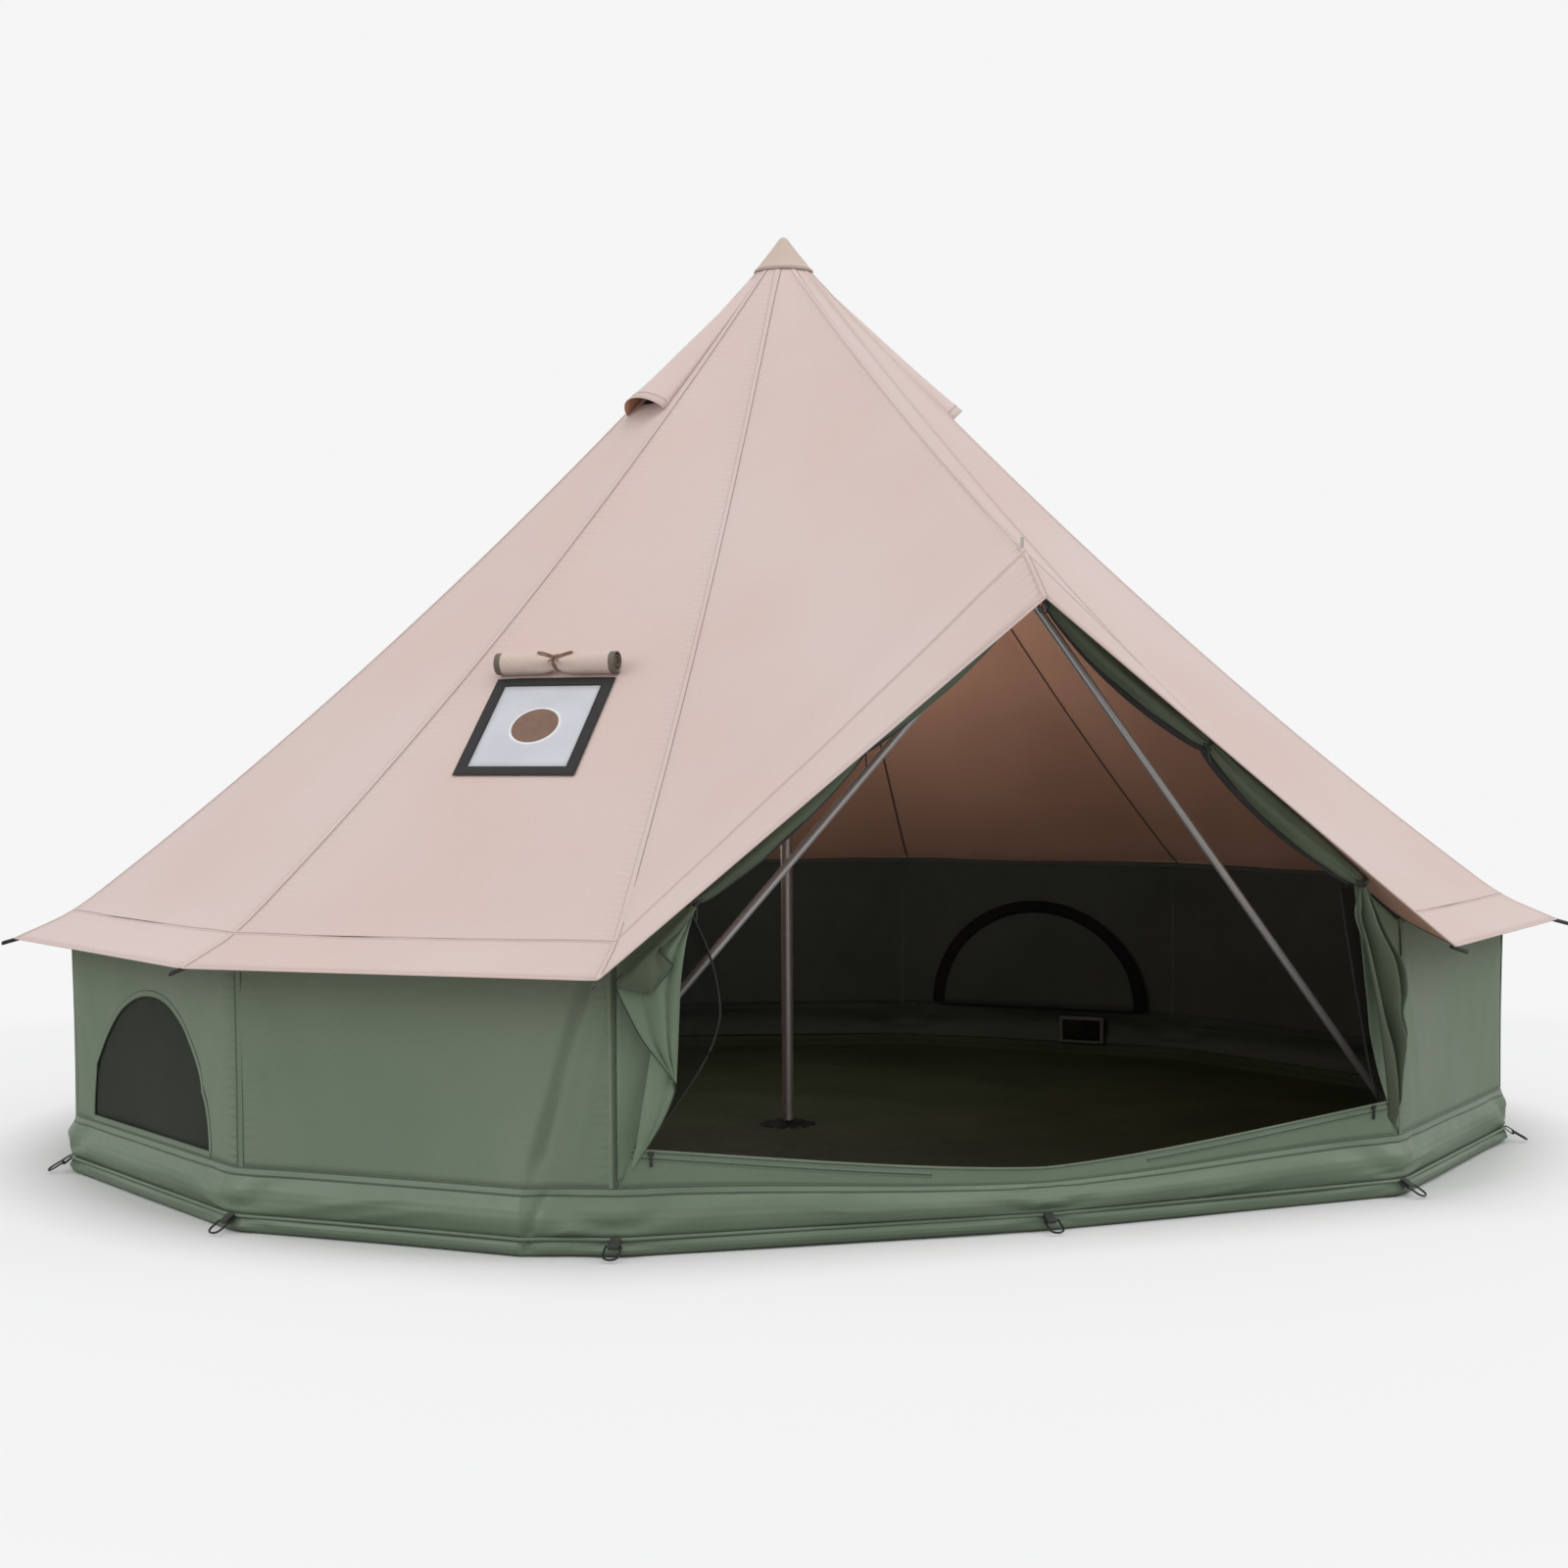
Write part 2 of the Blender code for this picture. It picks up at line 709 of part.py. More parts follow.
def vent_hoods(group):
    """Two hoods under the cap, each open down the slope over a vent."""
    for side, (left, right) in hood_corners.items():
        first, second = seam_line(left), seam_line(right)
        line = [(a + b) / 2 for a, b in zip(first, second)]
        top, lip = row_at_radius(line, hood_top_radius), row_at_radius(line, hood_lip_radius)
        rows = []
        for step in range(hood_rows + 1):
            share = step / hood_rows
            row = []
            for column in range(hood_columns + 1):
                across = column / hood_columns
                position = hood_edge_share + (1 - 2 * hood_edge_share) * across
                point, normal = on_roof(first, second, top + share * (lip - top), position)
                row.append(point + normal * (2 * gap + hood_rise * share * math.sin(math.pi * across)))
            rows.append(row)
        sheet(f"vent_hood_{side}", rows, group, roof_canvas(), side=1)


def cable_port(group):
    """Rounded frame and flap of the cable entry, on the inside of the rear skirt."""
    middle, along, _ = panel_frame(*port_corners, -wall_inset, port_middle_height)
    out = along.cross(Vector((0, 0, 1)))
    mesh = bpy.data.meshes.new("cable_port")
    shape = bmesh.new()
    bmesh.ops.create_cube(shape, size=1)
    bmesh.ops.scale(shape, verts=shape.verts, vec=(port_width, port_height, port_thickness))
    shape.to_mesh(mesh)
    shape.free()
    made = link("cable_port", mesh, group, black_webbing())
    back = cloth - port_recess + port_thickness / 2
    place(made, middle + along * port_side_shift - out * back, along, Vector((0, 0, 1)))
    edge = made.modifiers.new("rounded edges", "BEVEL")
    edge.width = port_round
    edge.segments = 2


def door_point(side, along, out, height):
    """A point by a door corner: along the door line towards its middle, out of the tent, and up."""
    start = corner(1, -wall_inset)
    along_door = (corner(0, -wall_inset) - start).normalized()
    away = Vector((0, 0, 1)).cross(along_door)
    point = start + along_door * along + away * out
    return Vector((side * point.x, point.y, height))


def roll_line(clearance):
    """Centres and radii along a rolled door under the right-hand porch edge, from the peak to its tie."""
    ridge, seam = ridge_line(), seam_line(1)
    edge_place = len(ridge) - 2 + roll_seat_share
    tie_share = 1 - tie_along / (door_corner_radius * math.sin(door_corner_angle))
    line = []
    for step in range(roll_points):
        part = step / (roll_points - 1)
        swell = math.sin(math.pi * (roll_swell_start_share + part * (1 - roll_swell_start_share)))
        ends = roll_peak_radius + (roll_tie_radius - roll_peak_radius) * part
        radius = ends + (roll_middle_radius - ends) * swell
        across = roll_peak_share + part * (tie_share - roll_peak_share)
        point, normal = on_roof(ridge, seam, edge_place, across)
        line.append((point - normal * (cloth + radius + clearance), radius))
    return line


def drape_top():
    """Where a drape starts: just past the end of its roll, seen from the right-hand door corner."""
    (before, _), (end, _) = roll_line(left_roll_clearance)[-2:]
    stand = drape_width * drape_row_shares[0][2] / 2 * math.cos(edge_pitch) + drape_top_gap
    return end + (end - before).normalized() * stand


def door_drapes(group):
    """Loose lower ends of the two rolled doors, hanging in folds outside the door corners."""
    start = corner(1, -wall_inset)
    along_door = (corner(0, -wall_inset) - start).normalized()
    away = Vector((0, 0, 1)).cross(along_door)
    top = drape_top() - start
    top_along, top_out = top.dot(along_door), top.dot(away)
    for name, side in (("door_drape_right", 1), ("door_drape_left", -1)):
        rows = []
        for down, shift, half in drape_row_shares:
            height = top.z + down * (drape_bottom_height - top.z)
            stand = top_out + (drape_standoff - top_out) * min(1, down / drape_row_shares[2][0])
            row = []
            for column in range(drape_columns + 1):
                across = 2 * column / drape_columns - 1
                wave = math.cos(math.pi * drape_folds * across)
                along = top_along + drape_width * (shift + half * across / 2)
                row.append(door_point(side, along, stand + drape_fold_depth * half * wave, height))
            rows.append(row if side < 0 else row[::-1])
        pivot = door_point(side, 0, drape_standoff, 0)
        made = sheet(name, [[point - pivot for point in row] for row in rows], group, wall_canvas(),
                     thickness=drape_thickness, side=0)
        made.location = pivot


def door_rolls(group):
    """Upper ends of the doors, rolled up under the porch edge and thin at the peak."""
    rolls = (("door_roll_right", 1, right_roll_clearance), ("door_roll_left", -1, left_roll_clearance))
    for name, side, clearance in rolls:
        line = roll_line(clearance)
        points = [(side * point.x, point.y, point.z) for point, _ in line]
        shares = [radius / roll_middle_radius for _, radius in line]
        tube(name, points, roll_middle_radius, group, wall_canvas(), shares=shares, resolution=2)


def zip_sliders(group):
    """Slider and pull tab at each end of the threshold's zip."""
    body, drop = slider_width / 2, slider_height + tab_length
    outline = [(-body, 0), (body, 0), (body, -slider_height), (tab_width / 2, -slider_height),
               (tab_width / 2, -drop), (-tab_width / 2, -drop), (-tab_width / 2, -slider_height),
               (-body, -slider_height)]
    for name, side in (("zip_slider_right", 1), ("zip_slider_left", -1)):
        made = plate(name, [outline[::-1]], slider_thickness, group, ring_steel())
        stand = 2 * gap + slider_thickness / 2
        height = threshold_end_height - slider_overlap
        origin = door_point(side, slider_end_distance, stand, height)
        along = door_point(side, slider_end_distance + slider_width, stand, height) - origin
        place(made, origin, along * -side, Vector((0, 0, 1)))


def build():
    """Builds every sub-part of the tent."""
    clear_scene()
    tent = collection("hot_tent")
    cutters = collection("cutters")
    roof(tent)
    porch(tent, cutters)
    apex_cap(tent)
    walls(tent)
    tub(tent)
    floor(tent)
    threshold(tent)
    peg_webbing(tent, cutters)
    peg_rings(tent)
    eave_binding(tent)
    centre_pole(tent)
    door_frame(tent, cutters)
    stove_jack(tent)
    vent_hoods(tent)
    cable_port(tent)
    door_drapes(tent)
    door_rolls(tent)
    zip_sliders(tent)


build()
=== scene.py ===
import math

import bmesh
import bpy
from mathutils import Matrix, Vector, noise
from mathutils.bvhtree import BVHTree


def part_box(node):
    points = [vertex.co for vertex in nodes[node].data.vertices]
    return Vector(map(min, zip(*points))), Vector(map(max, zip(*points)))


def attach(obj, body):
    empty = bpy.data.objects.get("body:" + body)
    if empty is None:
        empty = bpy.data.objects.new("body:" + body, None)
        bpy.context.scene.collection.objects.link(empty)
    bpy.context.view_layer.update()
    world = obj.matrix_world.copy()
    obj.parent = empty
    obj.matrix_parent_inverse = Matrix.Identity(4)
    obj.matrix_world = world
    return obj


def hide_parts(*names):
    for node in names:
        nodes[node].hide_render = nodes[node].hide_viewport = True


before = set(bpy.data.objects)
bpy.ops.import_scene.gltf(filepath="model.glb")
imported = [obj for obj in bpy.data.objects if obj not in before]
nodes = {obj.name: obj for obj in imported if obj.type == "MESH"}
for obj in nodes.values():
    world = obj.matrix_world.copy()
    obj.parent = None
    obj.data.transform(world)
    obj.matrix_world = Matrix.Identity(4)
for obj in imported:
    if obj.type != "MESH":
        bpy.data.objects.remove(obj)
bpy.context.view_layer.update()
degree = math.pi / 180
upright = Vector((0, 0, 1))

# The standpoint: 7.3 m from the centre pole, a little left of the door and at chest height, so that the near
# corners, the porch and the dark inside show as they do in the photograph.
view_turn, view_yaw, view_tilt, view_roll = -20.2 * degree, -0.0498 * degree, 1.0511 * degree, 0.3064 * degree
view_distance, view_height, view_lens = 7.2587, 1.1129, 58.18

turn = Matrix.Rotation(view_turn, 3, "Z")
level_side = turn @ Vector((math.cos(view_yaw), -math.sin(view_yaw), 0))
level_ahead = turn @ Vector((math.sin(view_yaw), math.cos(view_yaw), 0))
ahead = level_ahead * math.cos(view_tilt) - upright * math.sin(view_tilt)
above = level_ahead * math.sin(view_tilt) + upright * math.cos(view_tilt)
view_side = level_side * math.cos(view_roll) - above * math.sin(view_roll)
view_up = level_side * math.sin(view_roll) + above * math.cos(view_roll)
camera = bpy.data.objects.new("camera", bpy.data.cameras.new("camera"))
bpy.context.scene.collection.objects.link(camera)
camera.data.lens = view_lens
camera.data.clip_end = 200
camera.matrix_world = Matrix.Translation(turn @ Vector((0, -view_distance, view_height))) @ Matrix(
    (view_side, view_up, -ahead)).transposed().to_4x4()
bpy.context.scene.camera = camera
bpy.context.scene.view_settings.view_transform = "Standard"


# The studio: a pale floor that keeps the tent's shadow and fades into a pale backdrop, an even sky and large,
# soft lamps. Everything is at a plain level, so that a colour renders about as it is written.
backdrop_colour = (0.917, 0.919, 0.919, 1)
floor_colour, floor_bounce = (0.90, 0.90, 0.90, 1), (0.55, 0.55, 0.55, 1)
sky_colour, sky_strength = (0.98, 0.99, 1.0, 1), 0.70
floor_size, floor_drop = 60.0, 0.001
shadow_reach, shadow_end = 2.8, 4.4
contact_softening, shadow_softening, contact_reach = 0.0, 0.68, 0.32
tub_reach, sill_reach = 1.96, 1.65


def add_node(tree, kind, sockets=None, **settings):
    """A shader node with its settings; each named socket gets a value or a link."""
    made = tree.nodes.new(kind)
    for key, value in settings.items():
        setattr(made, key, value)
    for key, value in (sockets or {}).items():
        if isinstance(value, bpy.types.NodeSocket):
            tree.links.new(value, made.inputs[key])
        else:
            made.inputs[key].default_value = value
    return made


def maths(tree, operation, *values):
    """The result of a Math node."""
    return add_node(tree, "ShaderNodeMath", dict(enumerate(values)), operation=operation).outputs[0]


def spread(tree, value, low, high, to_low=0.0, to_high=1.0, **settings):
    """A value stretched from one range to another, and held there."""
    ranges = {"Value": value, "From Min": low, "From Max": high, "To Min": to_low, "To Max": to_high}
    return add_node(tree, "ShaderNodeMapRange", ranges, **settings).outputs[0]


def blend_colours(tree, share, first, second):
    """Two colours mixed by a share from 0 to 1."""
    mix = add_node(tree, "ShaderNodeMix", {"Factor": share, 6: first, 7: second}, data_type="RGBA")
    return mix.outputs[2]


def bare_material(name):
    """A material with an empty tree and its output."""
    made = bpy.data.materials.new(name)
    made.use_nodes = True
    made.node_tree.nodes.clear()
    return made, made.node_tree, made.node_tree.nodes.new("ShaderNodeOutputMaterial")


def backdrop():
    """The world: an even sky for the light, and the plain backdrop where the camera sees it."""
    world = bpy.data.worlds.new("sky")
    bpy.context.scene.world = world
    world.use_nodes = True
    tree = world.node_tree
    tree.nodes.clear()
    path = add_node(tree, "ShaderNodeLightPath")
    seen = maths(tree, "MAXIMUM", path.outputs["Is Camera Ray"], path.outputs["Is Transmission Ray"])
    light = add_node(tree, "ShaderNodeBackground", {"Color": sky_colour, "Strength": sky_strength})
    shown = add_node(tree, "ShaderNodeBackground", {"Color": backdrop_colour, "Strength": 1.0})
    mix = add_node(tree, "ShaderNodeMixShader", {0: seen, 1: light.outputs[0], 2: shown.outputs[0]})
    add_node(tree, "ShaderNodeOutputWorld", {"Surface": mix.outputs[0]})


def studio_floor():
    """A wide plane that keeps the shadow near the tent and shows the backdrop's own colour further out."""
    mesh = bpy.data.meshes.new("floor")
    half = floor_size / 2
    rim = [(-half, -half, 0), (half, -half, 0), (half, half, 0), (-half, half, 0)]
    mesh.from_pydata(rim, [], [(0, 1, 2, 3)])
    floor = bpy.data.objects.new("floor", mesh)
    bpy.context.scene.collection.objects.link(floor)
    floor.location.z = -floor_drop
    finish, tree, out = bare_material("floor")
    place = add_node(tree, "ShaderNodeTexCoord").outputs["Object"]
    reach = add_node(tree, "ShaderNodeVectorMath", {0: place}, operation="LENGTH").outputs["Value"]
    far = spread(tree, reach, shadow_reach, shadow_end, interpolation_type="SMOOTHSTEP")
    parts = add_node(tree, "ShaderNodeSeparateXYZ", {0: place})
    beside = maths(tree, "MAXIMUM", maths(tree, "SUBTRACT", reach, tub_reach),
                   maths(tree, "SUBTRACT", -sill_reach, parts.outputs[1]))
    near = spread(tree, beside, 0.0, contact_reach, contact_softening, shadow_softening)
    far = maths(tree, "MAXIMUM", far, near)
    ray = add_node(tree, "ShaderNodeLightPath").outputs["Is Camera Ray"]
    tone = blend_colours(tree, ray, floor_bounce, floor_colour)
    matte = add_node(tree, "ShaderNodeBsdfDiffuse", {"Color": tone})
    plain = add_node(tree, "ShaderNodeEmission", {"Color": backdrop_colour})
    mix = add_node(tree, "ShaderNodeMixShader", {0: maths(tree, "MULTIPLY", far, ray), 1: matte.outputs[0],
                                                 2: plain.outputs[0]})
    tree.links.new(mix.outputs[0], out.inputs["Surface"])
    mesh.materials.append(finish)


def lamp(name, bearing, height, distance, size, power):
    """A large square lamp on a bearing round the tent, aimed at the middle of its roof."""
    data = bpy.data.lights.new(name, "AREA")
    data.size = size
    data.energy = power
    made = bpy.data.objects.new(name, data)
    bpy.context.scene.collection.objects.link(made)
    made.location = (distance * math.sin(bearing), -distance * math.cos(bearing), height)
    made.rotation_euler = (upright - made.location).to_track_quat("-Z", "Y").to_euler()


def inside_lamp(place, size, power):
    """A soft lamp in the tent, for the daylight that comes in through its canvas."""
    data = bpy.data.lights.new("daylight_through_canvas", "POINT")
    data.shadow_soft_size = size
    data.energy = power
    made = bpy.data.objects.new(data.name, data)
    bpy.context.scene.collection.objects.link(made)
    made.location = place
    made.visible_camera = False


backdrop()
studio_floor()
lamp("overhead_lamp", 0, 8.5, 3.0, 6.0, 150)
lamp("left_lamp", -75 * degree, 4.0, 8.0, 4.0, 90)
lamp("right_lamp", 60 * degree, 4.5, 8.0, 4.0, 98)
lamp("rear_lamp", 170 * degree, 5.0, 8.0, 4.0, 60)
inside_lamp(Vector((0.0, 0.45, 1.15)), 0.6, 21)


# The centre pole: two grey coated steel tubes with a ferrule, standing on the floor and holding up the apex.
# The tubes are drawn, so their finish runs lengthwise in fine streaks with small rubbed spots.
pole_colour, pole_rubbed = (0.60, 0.57, 0.55, 1), (0.76, 0.73, 0.71, 1)
# The door legs are the same coated steel, painted a little darker as shade under the porch.
shaded_leg_colour, shaded_leg_rubbed = (0.51, 0.48, 0.465, 1), (0.66, 0.63, 0.61, 1)
streak_width, streak_length, rub_size = 0.002, 0.15, 0.035


def new_group(name, inputs, outputs):
    """A shader node group with named inputs (kind and value) and outputs (kind)."""
    tree = bpy.data.node_groups.new(name, "ShaderNodeTree")
    for key, (kind, value) in inputs.items():
        socket = tree.interface.new_socket(key, in_out="INPUT", socket_type="NodeSocket" + kind)
        if value is not None:
            socket.default_value = value
    for key, kind in outputs.items():
        tree.interface.new_socket(key, in_out="OUTPUT", socket_type="NodeSocket" + kind)
    return tree, tree.nodes.new("NodeGroupInput"), tree.nodes.new("NodeGroupOutput")


def use_group(tree, group, sockets):
    """A placed group with its values and links."""
    return add_node(tree, "ShaderNodeGroup", sockets, node_tree=group)


def noise_at(tree, place, size, detail=3.0, rough=0.5):
    """Noise from 0 to 1 with features of about a size in metres."""
    settings = {"Vector": place, "Scale": 1 / size, "Detail": detail, "Roughness": rough}
    return add_node(tree, "ShaderNodeTexNoise", settings).outputs["Fac"]


def principled(name, roughness, metallic=0.0, sheen=0.0, coat=0.0, shine=0.5):
    """A material with one Principled shader and its constants on the shader's own sockets."""
    made, tree, out = bare_material(name)
    shader = add_node(tree, "ShaderNodeBsdfPrincipled", {
        "Roughness": roughness, "Metallic": metallic, "Sheen Weight": sheen, "Coat Weight": coat,
        "Specular IOR Level": shine})
    tree.links.new(shader.outputs[0], out.inputs["Surface"])
    return made, tree, shader


def raise_surface(tree, shader, height, depth):
    """Feeds a height in shares of a depth in metres to the shader's normal."""
    bump = add_node(tree, "ShaderNodeBump", {"Height": height, "Distance": depth, "Strength": 1.0})
    tree.links.new(bump.outputs[0], shader.inputs["Normal"])


def coordinates(tree):
    """The place on the piece, and the metres across and along its cloth."""
    place = add_node(tree, "ShaderNodeTexCoord").outputs["Object"]
    return place, add_node(tree, "ShaderNodeUVMap", uv_map="UVMap").outputs[0]


def streaks_group():
    """Fine marks along a tube or bar, with rubbed spots."""
    tree, given, out = new_group("streaks", {"Vector": ("Vector", None)},
                                 {"Streak": "Float", "Rubbed": "Float"})
    squeeze = (1 / streak_width, 1 / streak_width, 1 / streak_length)
    place = add_node(tree, "ShaderNodeVectorMath", {0: given.outputs["Vector"], 1: squeeze},
                     operation="MULTIPLY").outputs[0]
    spots = spread(tree, noise_at(tree, given.outputs["Vector"], rub_size, 5.0, 0.65), 0.60, 0.72)
    tree.links.new(noise_at(tree, place, 1.0), out.inputs["Streak"])
    tree.links.new(spots, out.inputs["Rubbed"])
    return tree


streaks = streaks_group()


def tube_finish(name, colour, rubbed, roughness, metallic):
    """Drawn and coated tube: streaks along it and rubbed spots."""
    made, tree, shader = principled(name, roughness, metallic)
    place = add_node(tree, "ShaderNodeTexCoord").outputs["Object"]
    marks = use_group(tree, streaks, {"Vector": place})
    worn = maths(tree, "MULTIPLY", marks.outputs["Rubbed"], 0.5)
    tone = maths(tree, "ADD", worn, spread(tree, marks.outputs["Streak"], 0.3, 0.7, 0.0, 0.35))
    tree.links.new(blend_colours(tree, tone, colour, rubbed), shader.inputs["Base Color"])
    tree.links.new(spread(tree, marks.outputs["Streak"], 0.2, 0.8, roughness - 0.08, roughness + 0.1),
                   shader.inputs["Roughness"])
    raise_surface(tree, shader, marks.outputs["Streak"], 0.0002)
    return made


def dress(node_names, finish):
    """Gives shown CAD nodes their finish."""
    for name in node_names:
        nodes[name].data.materials.clear()
        nodes[name].data.materials.append(finish)


steel_tube = tube_finish("steel_tube", pole_colour, pole_rubbed, 0.40, 0.65)
shaded_leg_tube = tube_finish("shaded_leg_tube", shaded_leg_colour, shaded_leg_rubbed, 0.45, 0.65)
dress(["pole_lower", "pole_upper"], steel_tube)
dress(["door_leg_left", "door_leg_right", "door_frame_bracket"], shaded_leg_tube)


# The groundsheet: dark olive coated cloth inside the tub. It lies on the ground, creased round the pole's
# foot and lightly rumpled towards the edges, and it is welded to the tub all round.
floor_radius, door_corner_radius, door_middle_radius = 2.000, 1.896, 1.694
door_corner_angle = 31.5 * degree
side_corner_angles = (59.5 * degree, 89.0 * degree, 117.0 * degree, 147.0 * degree)
half_plan = [(door_corner_angle, door_corner_radius)]
half_plan += [(angle, floor_radius) for angle in side_corner_angles]
corners = [(0.0, door_middle_radius)] + half_plan + [(math.pi, floor_radius)]
corners += [(-angle, radius) for angle, radius in reversed(half_plan)]
corner_round = 0.03
sheet_inset, sheet_upturn, sheet_rings, side_columns = 0.0175, 0.033, 44, 20
sheet_start, sheet_height = 0.012, 0.0015
sheet_tones = ((0.021, 0.032, 0.015, 1), (0.032, 0.045, 0.023, 1))
foot_patch_profile = ((0.018, 0.0165), (0.030, 0.0160), (0.042, 0.0140), (0.050, 0.0092), (0.062, 0.0074),
                      (0.074, 0.0062), (0.080, 0.0040))
patch_wave = 0.0012
foot_patch_tones = ((0.004, 0.004, 0.003, 1), (0.007, 0.007, 0.006, 1))
slump_turns, slump_lean, slump_depth = 10.79, 0.14, 0.055
crease_count, crease_reach, crease_depth, foot_reach, rumple_depth = 17, 0.14, 0.006, 0.078, 0.006
pucker_pitch, pucker_reach = 0.022, 0.03


def corner(index, offset=0.0, height=0.0):
    """A plan corner, moved outward by offset and up to height."""
    angle, radius = corners[index % len(corners)]
    return Vector(((radius + offset) * math.sin(angle), -(radius + offset) * math.cos(angle), height))


def outward(index):
    """Level direction out of the tent at a corner."""
    angle = corners[index % len(corners)][0]
    return Vector((math.sin(angle), -math.cos(angle), 0))


def plan_point(turns, inset=0.0, height=0.0):
    """A point round the plan, with corners at whole turns, each a little rounded as sewn cloth is."""
    index, share = int(turns // 1), turns % 1
    start, end = corner(index, -inset, height), corner(index + 1, -inset, height)
    if share < corner_round:
        before = start.lerp(corner(index - 1, -inset, height), corner_round)
        part = 0.5 + share / corner_round / 2
        return before.lerp(start, part).lerp(start.lerp(start.lerp(end, corner_round), part), part)
    if share > 1 - corner_round:
        after = end.lerp(corner(index + 2, -inset, height), corner_round)
        part = (share - 1 + corner_round) / corner_round / 2
        return end.lerp(start, corner_round).lerp(end, part).lerp(end.lerp(after, part), part)
    return start.lerp(end, share)


def slump(turns, rise=0.0):
    """How far slack cloth stands out beside the door's left corner: most at its foot, nothing at the eave."""
    if not 10 < turns < 11:
        return 0.0
    peak = slump_turns + slump_lean * rise
    part = (turns - 10) / (peak - 10) if turns < peak else (11 - turns) / (11 - peak)
    return slump_depth * (1 - rise) * part ** 1.5


def loose_point(turns, inset, height, rise=0.0):
    """A point round the plan with that slack, and its panel's outward direction."""
    away = (corner(int(turns) + 1) - corner(int(turns))).cross(upright).normalized()
    return plan_point(turns, inset, height) + away * slump(turns, rise), away


def ripple(point, size, seed=0.0):
    """Smooth noise about zero, the same on every run."""
    return noise.noise(Vector((point[0] / size[0], point[1] / size[1], point[2] / size[2] + seed)))


def sew(name, patches, finishes, thickness=0.0012, side=-1, ring=False, centred=False, distance=None):
    """Cloth through grids of points, with its own metres across and along as UV, thickened to one side."""
    points, faces, uvs = [], [], []
    for rows in patches:
        first, count, wide = len(points), len(rows), len(rows[0])
        points += [point for row in rows for point in row]
        spans = wide if ring else wide - 1
        across, along = [0.0], [0.0]
        for column in range(spans):
            middle = rows[count // 2]
            across.append(across[-1] + (middle[(column + 1) % wide] - middle[column]).length)
        for upper, lower in zip(rows, rows[1:]):
            along.append(along[-1] - (lower[wide // 2] - upper[wide // 2]).length)
        shift = across[-1] / 2 if centred else 0
        for row in range(count - 1):
            for column in range(spans):
                around = ((row, column), (row + 1, column), (row + 1, column + 1), (row, column + 1))
                faces.append([first + line * wide + step % wide for line, step in around])
                uvs += [(across[step] - shift, along[line]) for line, step in around]
    mesh = bpy.data.meshes.new(name)
    mesh.from_pydata(points, [], faces)
    mesh.uv_layers.new(name="UVMap").data.foreach_set("uv", [value for uv in uvs for value in uv])
    distances = mesh.attributes.new("seam_distance", "FLOAT", "POINT")
    distances.data.foreach_set("value", distance or [1.0] * len(points))
    mesh.shade_smooth()
    for finish in finishes:
        mesh.materials.append(finish)
    made = bpy.data.objects.new(name, mesh)
    bpy.context.scene.collection.objects.link(made)
    if thickness:
        thick = made.modifiers.new("cloth", "SOLIDIFY")
        thick.thickness = thickness
        thick.offset = side
        thick.material_offset = len(finishes) - 1
    return made


def arc(steps, sweep=2 * math.pi):
    """Even steps from 0 through a sweep, a full turn if none is given, both ends among them."""
    return [sweep * step / steps for step in range(steps + 1)]


def fix(made, body="tent"):
    """Fastens a piece to its body."""
    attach(made, body)
    return made


def scaled(tree, vector, factor):
    """A vector or colour times a factor."""
    return add_node(tree, "ShaderNodeVectorMath", {0: vector, 3: factor}, operation="SCALE").outputs[0]


def weave_group():
    """Plain weave: threads over and under, from a UV in metres."""
    tree, given, out = new_group("weave", {"Vector": ("Vector", None), "Thread": ("Float", 0.0012)},
                                 {"Height": "Float"})
    across = add_node(tree, "ShaderNodeSeparateXYZ", {0: given.outputs["Vector"]})
    pace = maths(tree, "DIVIDE", math.pi, given.outputs["Thread"])
    warp = maths(tree, "SINE", maths(tree, "MULTIPLY", across.outputs[0], pace))
    weft = maths(tree, "SINE", maths(tree, "MULTIPLY", across.outputs[1], pace))
    over = maths(tree, "MULTIPLY", warp, weft)
    tree.links.new(spread(tree, over, -1.0, 1.0), out.inputs["Height"])
    return tree


def blotches_group():
    """Uneven dye: two tones in wide soft patches, with fine specks of thread."""
    tree, given, out = new_group("blotches", {
        "Vector": ("Vector", None), "Size": ("Float", 0.5), "Specks": ("Float", 0.05),
        "First": ("Color", None), "Second": ("Color", None)}, {"Color": "Color"})
    place = scaled(tree, given.outputs["Vector"], maths(tree, "DIVIDE", 1, given.outputs["Size"]))
    wide = spread(tree, noise_at(tree, place, 1.0, 2.0, 0.45), 0.32, 0.68)
    tone = blend_colours(tree, wide, given.outputs["First"], given.outputs["Second"])
    speck = noise_at(tree, given.outputs["Vector"], 0.004, 2.0, 0.7)
    lift = maths(tree, "MULTIPLY", spread(tree, speck, 0.3, 0.7, -1.0, 1.0), given.outputs["Specks"])
    tree.links.new(scaled(tree, tone, maths(tree, "ADD", 1, lift)), out.inputs["Color"])
    return tree


weave = weave_group()
blotches = blotches_group()


def puckers_group():
    """Small gathers that the stitches draw into cloth beside a seam, from the distance to it, and a share of
    painted shade that is strongest at the seam.
    """
    tree, given, out = new_group("puckers", {"Vector": ("Vector", None), "Distance": ("Float", 0.0)},
                                 {"Height": "Float", "Seam shade": "Float"})
    metres = add_node(tree, "ShaderNodeSeparateXYZ", {0: given.outputs["Vector"]})
    near = maths(tree, "POWER", 2.7, maths(tree, "DIVIDE", given.outputs["Distance"], -pucker_reach))
    wander = maths(tree, "MULTIPLY", noise_at(tree, given.outputs["Vector"], 0.05), 9)
    wave = maths(tree, "SINE", maths(tree, "ADD", wander, maths(tree, "MULTIPLY", metres.outputs[1],
                                                                2 * math.pi / pucker_pitch)))
    tree.links.new(maths(tree, "MULTIPLY", wave, near), out.inputs["Height"])
    tree.links.new(near, out.inputs["Seam shade"])
    return tree


puckers = puckers_group()


